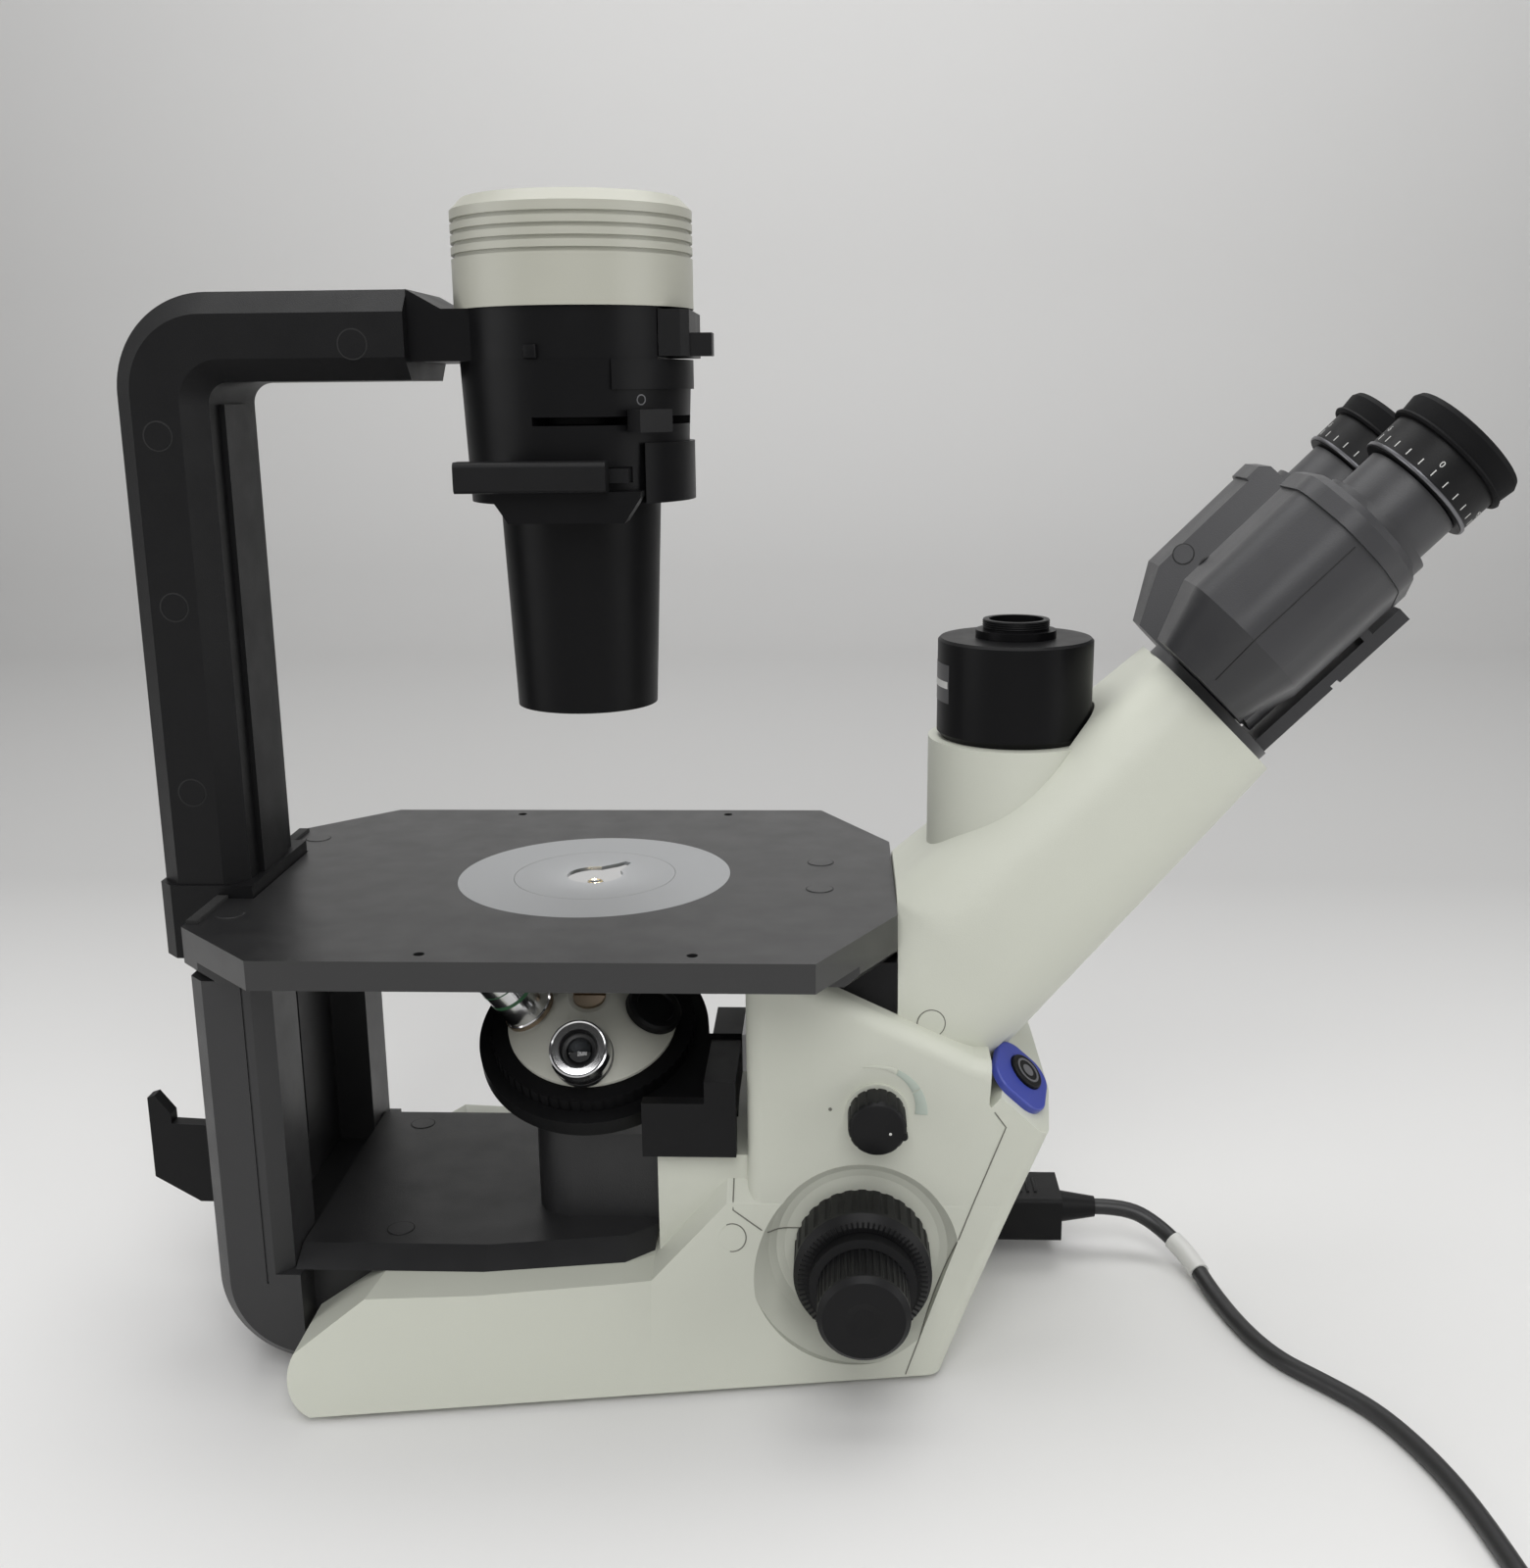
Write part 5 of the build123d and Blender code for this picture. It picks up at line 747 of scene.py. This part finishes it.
# %% Eyepiece rings and lenses
EYE_SIDE = 35.02
EYE_UP = 16.48
EYE_FOOT = 103.0
EYE_RADIUS = 22.0
satin = textured_finish(
    "satin_aluminium", (0.17, 0.17, 0.18), 0.32, 1200.0, 0.05, 0.05, metallic=1.0
)
mark_white = textured_finish("mark_white", (0.62, 0.62, 0.60), 0.5, 1500.0, 0.05, 0.05)
foot_ring = spun_piece("foot_ring", [
    (21.0, 0.15), (22.5, 0.3), (22.7, 0.6), (22.7, 1.5), (22.3, 1.8), (21.0, 1.8),
])
cup_bead = spun_piece("cup_bead", [
    (22.6, 14.2), (23.9, 14.4), (24.3, 15.2), (23.9, 16.0), (22.6, 16.2),
])
eye_lens = turned_piece("eye_lens", [
    (9.95, 15.5), (9.95, 16.6), (8.0, 17.3), (5.0, 17.9), (2.0, 18.15), (0.3, 18.2),
])
eye_patterns = (
    (foot_ring, "aluminium", satin),
    (cup_bead, "black_rubber", rubber),
    (eye_lens, "glass", glass),
)
for name, side in SIDES:
    foot = head_point(EYE_SIDE * side, EYE_UP, EYE_FOOT)
    for pattern, slot, finish in eye_patterns:
        piece = copy_of(pattern, f"{name}_{pattern.name}")
        carry(set_down(piece, foot, TUBE_ALONG, (0, 1, 0)), f"{name}_ocular", slot, finish)
for pattern, slot, finish in eye_patterns:
    drop(pattern)
print("eyepiece pieces", len(SIDES) * len(eye_patterns))

# %% Diopter scale
FIRST_MARK = 90.0
MARK_STEP = 15.0
MARK_COUNT = 11
NUMBER_SIZE = 3.2
NUMBER_HEIGHT = 7.2
upright = Matrix(((0, 0, 1), (1, 0, 0), (0, 1, 0))).to_4x4()


def stand_on_barrel(piece, turn_angle, height):
    """Stand a flat piece upright on the barrel, at a turn in degrees and a height."""
    round_axis = Matrix.Rotation(radians(turn_angle), 4, "Z")
    out = Matrix.Translation((EYE_RADIUS * MM, 0, height * MM))
    piece.matrix_world = round_axis @ out @ upright
    pick(piece)
    bpy.ops.object.transform_apply(location=True, rotation=True, scale=True)
    return piece


marks = cut_plate("diopter_marks", oblong(-0.2, 0.2, 3.0, 5.6), 0.0, 0.1, 0.03)
stand_on_barrel(marks, FIRST_MARK, 0)
spin_copies(marks, MARK_COUNT, -radians(MARK_STEP * (MARK_COUNT - 1)))
print("marks", len(marks.data.polygons), "faces, first at", FIRST_MARK, "degrees")


def dial_number(name, words, turn_angle, height):
    """A number on a barrel about Z: text, made a mesh, then stood upright on the surface."""
    bpy.ops.object.select_all(action="DESELECT")
    bpy.ops.object.text_add()
    writing = bpy.context.object
    writing.name = name
    writing.data.body = words
    writing.data.size = NUMBER_SIZE * MM
    writing.data.extrude = 0.05 * MM
    writing.data.align_x = "CENTER"
    bpy.ops.object.convert(target="MESH")
    return stand_on_barrel(bpy.context.object, turn_angle, height)


numbers = []
for words, index in (("+5", 10), ("0", 5), ("-5", 0)):
    turn_angle = FIRST_MARK + MARK_STEP * index
    numbers.append(dial_number(f"number_{index}", words, turn_angle, NUMBER_HEIGHT))
pick(marks)
for writing in numbers:
    writing.select_set(True)
bpy.ops.object.join()
for name, side in SIDES:
    foot = head_point(EYE_SIDE * side, EYE_UP, EYE_FOOT)
    scale = set_down(copy_of(marks, f"{name}_diopter_scale"), foot, TUBE_ALONG, (0, 1, 0))
    carry(scale, f"{name}_ocular", "white_plastic", mark_white)
drop(marks)
print("diopter scales", len(SIDES))

# %% [markdown]
# ## Knobs
# The big focus knob has a ring of fine radial ribs on its face, and the small brightness knob is
# scalloped, with a pointer at its rim. A rib is a narrow plate, copied round the axis with Spin. The
# scalloped sleeve starts as a circle; every sixth vertex round it is drawn in a little.

# %% Ribs of the focus knobs
FOCUS_X = 108.0
FOCUS_Z = 53.0
COARSE_FACE = 84.6
RIB_COUNT = 72
ribs = cut_plate("rib_pattern", oblong(20.6, 24.4, -0.38, 0.38), -0.3, 0.22, 0.12)
spin_copies(ribs, RIB_COUNT, tau * (RIB_COUNT - 1) / RIB_COUNT)
for name, side in SIDES:
    place = Vector((OPTICAL_X + FOCUS_X * MM, COARSE_FACE * MM * side, FOCUS_Z * MM))
    crown = set_down(copy_of(ribs, f"{name}_knob_ribs"), place, (0, side, 0), ACROSS)
    carry(crown, "coarse_drive", "black_plastic", black_plastic)
drop(ribs)
print("ribs", RIB_COUNT, "on each side")

# %% Brightness knob
DIMMER_X = 113.3
DIMMER_Z = 110.5
DIMMER_FACE = -63.9
SCALLOPS = 16
SCALLOP_STEPS = 6
SCALLOP_DEPTH = 0.945
POINTER_TURN = radians(-18)
POINTER_REACH = 10.3
DOT_REACH = 5.0
TO_USER = Vector((0, -1, 0))
dimmer_place = Vector((OPTICAL_X + DIMMER_X * MM, DIMMER_FACE * MM, DIMMER_Z * MM))
pointer_way = Vector((cos(POINTER_TURN), 0, sin(POINTER_TURN)))


def in_a_valley(vertex):
    """Whether a vertex of the sleeve is the sixth one round, below the rounded end."""
    return vertex.index % SCALLOP_STEPS == 0 and vertex.co.z < 12 * MM


sleeve_rings = [(10.9, 0.3), (10.9, 11.2), (10.3, 12.3), (9.2, 13.02)]
sleeve = turned_piece("dimmer_sleeve", sleeve_rings, SCALLOPS * SCALLOP_STEPS)
choose(sleeve, "VERT", in_a_valley)
bpy.ops.transform.resize(value=(SCALLOP_DEPTH, SCALLOP_DEPTH, 1), center_override=(0, 0, 0))
bpy.ops.object.mode_set(mode="OBJECT")
set_down(sleeve, dimmer_place, TO_USER, ACROSS)
carry(sleeve, "dimmer", "black_plastic", black_plastic)
pointer = turned_piece("dimmer_pointer", [(1.5, 9.0), (1.5, 12.2), (1.1, 12.9), (0.5, 13.1)], 16)
set_down(pointer, dimmer_place + pointer_way * (POINTER_REACH * MM), TO_USER)
carry(pointer, "dimmer", "black_plastic", black_plastic)
dot = turned_piece("dimmer_dot", [(0.55, 12.8), (0.55, 13.06), (0.4, 13.1)], 16)
set_down(dot, dimmer_place + pointer_way * (DOT_REACH * MM), TO_USER)
carry(dot, "dimmer", "white_plastic", mark_white)
print("brightness knob", SCALLOPS, "scallops")

# %% [markdown]
# The brightness scale on the cover is a wedge that gets wider towards full power, in three raised
# fields of a paler, greener tone, with a dot for off. Each field's outline is an outer arc and an
# inner edge that comes closer to the knob.

# %% Brightness scale
SCALE_OUTER = 19.2
SCALE_INNER = 18.8
SCALE_WIDENING = 4.5
SCALE_START = 106
SCALE_SPAN = 108
FIELD_ENDS = [(SCALE_START, 66.5), (65, 32), (30.5, -2)]
OFF_X, OFF_Z = 95.8, 111.7
scale_green = textured_finish("scale_green", (0.46, 0.52, 0.46), 0.45, 1500.0, 0.08, 0.04)


def wedge_outline(start, end, steps=10):
    """The outline of one field, in degrees round the knob."""
    angles = [start + (end - start) * index / steps for index in range(steps + 1)]
    corners = [(SCALE_OUTER, angle) for angle in angles]
    for angle in reversed(angles):
        corners.append((SCALE_INNER - SCALE_WIDENING * (SCALE_START - angle) / SCALE_SPAN, angle))
    return [(radius * cos(radians(angle)), radius * sin(radians(angle))) for radius, angle in corners]


beside_knob = Vector((dimmer_place.x + 0.016, -0.3, dimmer_place.z + 0.004))
cover_y = meet("left_cover", beside_knob, -TO_USER)[0].y
scale_place = Vector((dimmer_place.x, cover_y, dimmer_place.z))
for index, (start, end) in enumerate(FIELD_ENDS):
    field = cut_plate(f"brightness_field_{index}", wedge_outline(start, end), -0.3, 0.22, 0.08)
    set_down(field, scale_place, TO_USER, ACROSS)
    carry(field, "frame", "white_plastic", cream if index == 0 else scale_green)
off_dot = turned_piece("brightness_off_dot", [(0.7, -0.3), (0.7, 0.12), (0.5, 0.2)], 20)
set_down(off_dot, (OPTICAL_X + OFF_X * MM, cover_y, OFF_Z * MM), TO_USER)
carry(off_dot, "frame", "white_plastic", gap_shade_joint_and_print_grey)
print("brightness fields", len(FIELD_ENDS))

# %% [markdown]
# The push button is dished, with a grey ring printed round the dish. A spun ring with a round back
# and a shallow turned disc give it. Both ride on the button.

# %% Push button
BUTTON_NORMAL = Vector((0.65, -0.27, 0.71)).normalized()
button_low, button_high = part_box("power_button")
button_middle = (button_low + button_high) / 2
place, normal = meet("power_button", button_middle + BUTTON_NORMAL * 0.05, -BUTTON_NORMAL)
button_grey = textured_finish("button_grey", (0.13, 0.13, 0.14), 0.4, 1500.0, 0.08, 0.1)
ring_section = [(4.4, -0.2), (4.55, 0.18), (5.0, 0.26), (5.4, 0.18), (5.5, -0.2)]
button_ring = spun_piece("button_ring", ring_section, 40)
carry(set_down(button_ring, place, normal), "power_switch", "black_plastic", button_grey)
button_mark = turned_piece("button_mark", [(2.6, -0.2), (2.6, 0.12), (2.0, 0.2), (0.4, 0.22)], 32)
carry(set_down(button_mark, place, normal), "power_switch", "black_plastic", button_grey)
print("button face", tuple(round(v, 4) for v in place))

# %% [markdown]
# ## Objectives
# Each objective stands on its seat of the tilted turret. A seat's direction is the turret's axis
# leaned out by the same tilt. The low power one shows a black lens cell inside its chromed rim, the
# long one a coloured ring and a brass foot, and the one in use a small bright front lens.

# %% Objective rings and lenses
TURRET_TILT = radians(27)
TURRET_APEX = Vector((OPTICAL_X, 0, 92 * MM))
SEAT_DISTANCE = 54.0
turret_axis = Vector((0, -sin(TURRET_TILT), cos(TURRET_TILT)))
turret_side = Vector((0, cos(TURRET_TILT), sin(TURRET_TILT)))
cell_black = textured_finish("cell_black", (0.006, 0.006, 0.007), 0.35, 900.0, 0.05, 0.2)
band_green = textured_finish("band_green", (0.03, 0.12, 0.05), 0.4, 1500.0, 0.05, 0.1)
tip_gold = textured_finish("tip_gold", (0.86, 0.70, 0.42), 0.16, 900.0, 0.03, 0.05, metallic=1.0)


def seat_of(turn_degrees):
    """The place and the direction of one seat of the turret."""
    round_turn = radians(turn_degrees)
    lean = turret_side * cos(round_turn) + ACROSS * sin(round_turn)
    direction = turret_axis * cos(TURRET_TILT) + lean * sin(TURRET_TILT)
    return TURRET_APEX + direction * (SEAT_DISTANCE * MM), direction


LOW_SEAT, LONG_SEAT, USED_SEAT = 180, 270, 0
cell = (cell_black, "black_plastic")
band = (band_green, "black_plastic")
rim = (chrome, "chrome")
foot = (dull_brass, "brass")
objective_pieces = [
    (LOW_SEAT, "low_cell_wall", [(7.1, 12.8), (7.6, 16.05), (7.2, 16.05), (6.6, 13.0)], *cell),
    (LOW_SEAT, "low_rim", [(10.6, 15.9), (11.15, 16.2), (10.6, 16.35), (10.1, 16.05)], *rim),
    (LOW_SEAT, "low_ring", [(11.8, 3.6), (12.12, 3.7), (12.12, 6.6), (11.8, 6.7)], *cell),
    (LONG_SEAT, "long_band", [(9.8, 13.0), (10.09, 13.05), (10.09, 14.6), (9.8, 14.65)], *band),
    (LONG_SEAT, "long_band_upper", [(9.8, 20.0), (10.06, 20.05), (10.06, 20.6), (9.8, 20.65)], *band),
    (LONG_SEAT, "long_foot", [(10.2, 0.05), (10.9, 0.2), (10.9, 1.8), (10.2, 2.0)], *foot),
    (USED_SEAT, "tip_ring", [(2.6, 35.8), (3.1, 36.2), (2.7, 36.5), (2.3, 36.2)], tip_gold, "brass"),
]
for turn_degrees, name, section, finish, slot in objective_pieces:
    place, direction = seat_of(turn_degrees)
    carry(set_down(spun_piece(name, section), place, direction), "nosepiece", slot, finish)
floor_rings = [(6.9, 12.3), (6.9, 13.05), (5.4, 13.1), (5.0, 12.9), (0.4, 12.95)]
floor_disc = turned_piece("low_cell_floor", floor_rings)
carry(set_down(floor_disc, *seat_of(LOW_SEAT)), "nosepiece", "black_plastic", cell_black)
lens_rings = [(4.9, 12.9), (4.9, 13.2), (4.0, 13.7), (2.4, 14.1), (0.3, 14.25)]
front_lens = turned_piece("low_lens", lens_rings)
carry(set_down(front_lens, *seat_of(LOW_SEAT)), "nosepiece", "glass", glass)
tip_lens = turned_piece("tip_lens", [(2.4, 35.8), (2.4, 36.1), (1.6, 36.4), (0.2, 36.5)], 24)
carry(set_down(tip_lens, *seat_of(USED_SEAT)), "nosepiece", "glass", glass)
print("objective pieces", len(objective_pieces) + 3)

# %% [markdown]
# ## Stage and condenser trims
# Beside the column, two strips of soft black foam lie on the rear edge of the stage. The condenser
# carries an engraved ring and the lamp holder a small stop on its rim.

# %% Stage and condenser trims
foam = textured_finish("black_foam", (0.012, 0.012, 0.012), 0.9, 700.0, 0.8, 0.3)
stage_middle = Vector((OPTICAL_X, 0, STAGE_TOP))
for name, side in SIDES:
    near, far = sorted((34.0 * side, 65.0 * side))
    strip = cut_plate(f"{name}_foam_strip", oblong(-143.4, -138.8, near, far), 0, 1.6, 0.4)
    carry(set_down(strip, stage_middle, UP, ACROSS), "frame", "black_rubber", foam)
mark_look = Vector((OPTICAL_X + 27.7 * MM + 0.126, -0.19, 0.3728))
place, normal = meet("condenser_body", mark_look, (-0.63, 0.79, 0))
mark_section = [(1.5, -0.3), (1.5, 0.05), (1.9, 0.05), (1.9, -0.3)]
mark_ring = spun_piece("condenser_mark", mark_section, 32)
carry(set_down(mark_ring, place, normal), "frame", "black_plastic", button_grey)
place, normal = meet("lamp_holder", (OPTICAL_X - 9.4 * MM, -0.3, 0.3895), -TO_USER)
stop = cut_plate("holder_stop", oblong(-2.4, 2.4, -2.2, 2.6), -0.8, 1.8, 0.4)
carry(set_down(stop, place, normal, ACROSS), "frame", "black_plastic", black_metal)
print("trims", 4)

# %% [markdown]
# ## Underside of the stage
# The stage is a casting that is milled thin along its rim and over the nosepiece, and keeps its full
# depth only where it rests on the rear frame and on the body. Three blocks mill a copy of the plate.

# %% Milled stage
RIM_DEPTH = 11.0
MILL_REACH = 25.0
MILLS = (
    ("middle_mill", -109, 62, -110, 110),
    ("near_mill", -150, 130, -110, -76),
    ("far_mill", -150, 130, 76, 110),
)
milled_stage = bpy.data.objects.new("milled_stage", nodes["stage_plate"].data.copy())
bpy.context.scene.collection.objects.link(milled_stage)
edit_all(milled_stage)
bpy.ops.mesh.remove_doubles(threshold=MERGE_DISTANCE)
bpy.ops.object.mode_set(mode="OBJECT")
bpy.ops.mesh.customdata_custom_splitnormals_clear()
for name, rear, front, near, far in MILLS:
    mill = cut_plate(name, oblong(rear, front, near, far), -MILL_REACH, -RIM_DEPTH)
    set_down(mill, stage_middle, UP, ACROSS)
    undercut = milled_stage.modifiers.new("undercut", "BOOLEAN")
    undercut.object = mill
    undercut.operation = "DIFFERENCE"
    pick(milled_stage)
    bpy.ops.object.modifier_apply(modifier="undercut")
    drop(mill)
carry(milled_stage, "frame", "black_cast")
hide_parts("stage_plate")
print("milled stage", len(milled_stage.data.polygons))

# %% [markdown]
# ## Camera port
# The port has a screw thread, whose ridges are one zigzag section spun round the axis. The barrel
# carries a blank rating plate on the side away from the eyepieces: a sector of a ring, with one pale
# field left empty.

# %% Camera port
adapter_low, adapter_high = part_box("camera_adapter")
port_axis = Vector(((adapter_low.x + adapter_high.x) / 2, 0, adapter_high.z))
THREAD_PITCH = 0.8
THREAD_RIDGES = 4
THREAD_FOOT = -3.4
CORE, ROOT, CREST = 12.4, 12.68, 12.95
PLATE_TURN = radians(56)
FIELD_TURN = PLATE_TURN * 0.94
zigzag = [(CORE, THREAD_FOOT)]
for index in range(THREAD_RIDGES):
    low = THREAD_FOOT + THREAD_PITCH * index
    zigzag += [(ROOT, low), (CREST, low + THREAD_PITCH / 2)]
thread_top = THREAD_FOOT + THREAD_PITCH * THREAD_RIDGES
zigzag += [(ROOT, thread_top), (CORE, thread_top)]
thread = spun_piece("port_thread", zigzag, 96)
carry(set_down(thread, port_axis, UP), "frame", "black_plastic", black_metal)
plate_grey = textured_finish("plate_grey", (0.055, 0.055, 0.058), 0.35, 1500.0, 0.06, 0.1)
plate_section = [(29.8, 8.9), (30.14, 9.0), (30.14, 23.8), (29.8, 23.9)]
field_section = [(29.9, 14.6), (30.2, 14.65), (30.2, 17.35), (29.9, 17.4)]
for name, section, turn_angle, finish in (
    ("rating_plate", plate_section, PLATE_TURN, plate_grey),
    ("rating_field", field_section, FIELD_TURN, mark_white),
):
    plate = spun_piece(name, section, 24, turn_angle)
    middle_turn = sum((vertex.co for vertex in plate.data.vertices), Vector()).normalized()
    middle_turn.z = 0
    turn_back = middle_turn.rotation_difference(Vector((-1, 0, 0))).to_matrix()
    set_down(plate, (port_axis.x, 0, adapter_low.z), UP, turn_back @ ACROSS)
    carry(plate, "frame", "black_plastic", finish)
print("thread ridges", THREAD_RIDGES)

# %% [markdown]
# ## Floor and backdrop
# The instrument stands on white board in front of a pale wall. One sheet that curves up behind it
# serves as both. Its colour is painted darker from the front to behind the instrument and lighter
# again up the wall, a painted shade for how the lamps light the sheet.

# %% Floor and backdrop
FLOOR_FRONT = -3.0
FLOOR_BACK = 2.3
FLOOR_HALF = 6.0
WALL_HEIGHT = 2.6
SWEEP_RADIUS = 0.6

bpy.ops.object.select_all(action="DESELECT")
bpy.ops.mesh.primitive_plane_add(size=1, location=(0, 0, 0))
floor = bpy.context.object
floor.name = "paper_sweep"
floor.scale = (2 * FLOOR_HALF, FLOOR_BACK - FLOOR_FRONT, 1)
floor.location = (0, (FLOOR_BACK + FLOOR_FRONT) / 2, 0)
bpy.ops.object.transform_apply(location=True, rotation=True, scale=True)
choose(floor, "VERT", lambda vertex: vertex.co.y > FLOOR_BACK - MM)
bpy.ops.mesh.extrude_region_move(TRANSFORM_OT_translate={"value": (0, 0, WALL_HEIGHT)})
bpy.ops.object.mode_set(mode="OBJECT")
sweep = floor.modifiers.new("sweep", "BEVEL")
sweep.width = SWEEP_RADIUS
sweep.segments = 24
bpy.ops.object.modifier_apply(modifier="sweep")
bpy.ops.object.shade_smooth()

SHEET_FRONT = -0.6
SHEET_TOP = 3.4
# Painted shade: these tones along Y plus Z darken the floor behind the instrument and lighten the
# wall above it.
SHEET_SHADE_TONES = [(0.0, 0.88), (0.15, 0.78), (0.30, 0.50), (0.68, 0.62), (1.0, 0.92)]
board, board_tree, board_shader, board_place = new_finish("pale_board", (0.8, 0.8, 0.79), 0.7)
board_parts = board_tree.nodes.new("ShaderNodeSeparateXYZ")
board_tree.links.new(board_place, board_parts.inputs["Vector"])
way = board_tree.nodes.new("ShaderNodeMath")
board_tree.links.new(board_parts.outputs["Y"], way.inputs[0])
board_tree.links.new(board_parts.outputs["Z"], way.inputs[1])
climb = board_tree.nodes.new("ShaderNodeMapRange")
climb.inputs["From Min"].default_value = SHEET_FRONT
climb.inputs["From Max"].default_value = SHEET_TOP
board_tree.links.new(way.outputs["Value"], climb.inputs["Value"])
ramp = board_tree.nodes.new("ShaderNodeValToRGB")
for spare in range(len(SHEET_SHADE_TONES) - 2):
    ramp.color_ramp.elements.new(0.5)
for element, (position, tone) in zip(ramp.color_ramp.elements, SHEET_SHADE_TONES):
    element.position = position
    element.color = (tone, tone * 0.995, tone * 0.985, 1)
board_tree.links.new(climb.outputs["Result"], ramp.inputs["Fac"])
board_tree.links.new(ramp.outputs["Color"], board_shader.inputs["Base Color"])
board_grain = add_noise(board_tree, board_place, 900.0)
add_bump(board_tree, board_shader, board_grain, 0.05, GRAIN_HEIGHT)
floor.data.materials.append(board)
print("backdrop", len(floor.data.polygons))

# %% [markdown]
# ## Light
# Four large soft lamps give the plain, even light of a photo tent, and a fifth lights the wall. A
# sixth, under the condenser, is the instrument's own light, turned low.


# %% Lights
def soft_lamp(name, place, target, size, power):
    """A square area lamp that faces a target."""
    data = bpy.data.lights.new(name, "AREA")
    data.energy = power
    data.size = size
    lamp = bpy.data.objects.new(name, data)
    lamp.location = place
    lamp.rotation_euler = (Vector(target) - Vector(place)).to_track_quat("-Z", "Y").to_euler()
    bpy.context.scene.collection.objects.link(lamp)
    return lamp


MIDDLE = (0, 0, 0.2)
WALL_FOOT = (0, FLOOR_BACK, 0.5)
for lamp in (
    ("top_lamp", (0.0, 0.2, 1.75), MIDDLE, 1.5, 16),
    ("key_lamp", (0.1, -1.45, 1.55), MIDDLE, 1.2, 19),
    ("left_lamp", (-1.8, -0.6, 0.6), MIDDLE, 1.2, 8),
    ("right_lamp", (1.8, -0.7, 0.6), MIDDLE, 1.2, 9),
    ("wall_lamp", (0.0, 1.0, 2.1), WALL_FOOT, 2.6, 17),
):
    soft_lamp(*lamp)
field_place = (OPTICAL_X, 0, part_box("condenser_barrel")[0].z - MM)
field_lamp = soft_lamp("field_lamp", field_place, (OPTICAL_X, 0, 0), 0.022, 0.004)
field_lamp.data.shape = "DISK"
field_lamp.data.spread = radians(40)

# %% [markdown]
# Past the sheet's edges the world shows. A Light Path node gives it a pale tone for what the camera,
# a gloss or a lens sees, and a faint one for the light that it sheds on the object.

# %% World
SEEN_TONE = 0.55
SHED_TONE = 0.10
world = bpy.data.worlds.new("pale_room")
world.use_nodes = True
world_tree = world.node_tree
background = world_tree.nodes["Background"]
background.inputs["Color"].default_value = (1, 1, 1, 1)
paths = world_tree.nodes.new("ShaderNodeLightPath")
seen = paths.outputs["Is Camera Ray"]
for kind in ("Is Glossy Ray", "Is Transmission Ray"):
    either = world_tree.nodes.new("ShaderNodeMath")
    either.operation = "MAXIMUM"
    world_tree.links.new(seen, either.inputs[0])
    world_tree.links.new(paths.outputs[kind], either.inputs[1])
    seen = either.outputs["Value"]
strength = world_tree.nodes.new("ShaderNodeMapRange")
strength.inputs["To Min"].default_value = SHED_TONE
strength.inputs["To Max"].default_value = SEEN_TONE
world_tree.links.new(seen, strength.inputs["Value"])
world_tree.links.new(strength.outputs["Result"], background.inputs["Strength"])
bpy.context.scene.world = world
bpy.context.scene.view_settings.view_transform = "Standard"
print("world", SEEN_TONE, "seen", SHED_TONE, "shed")
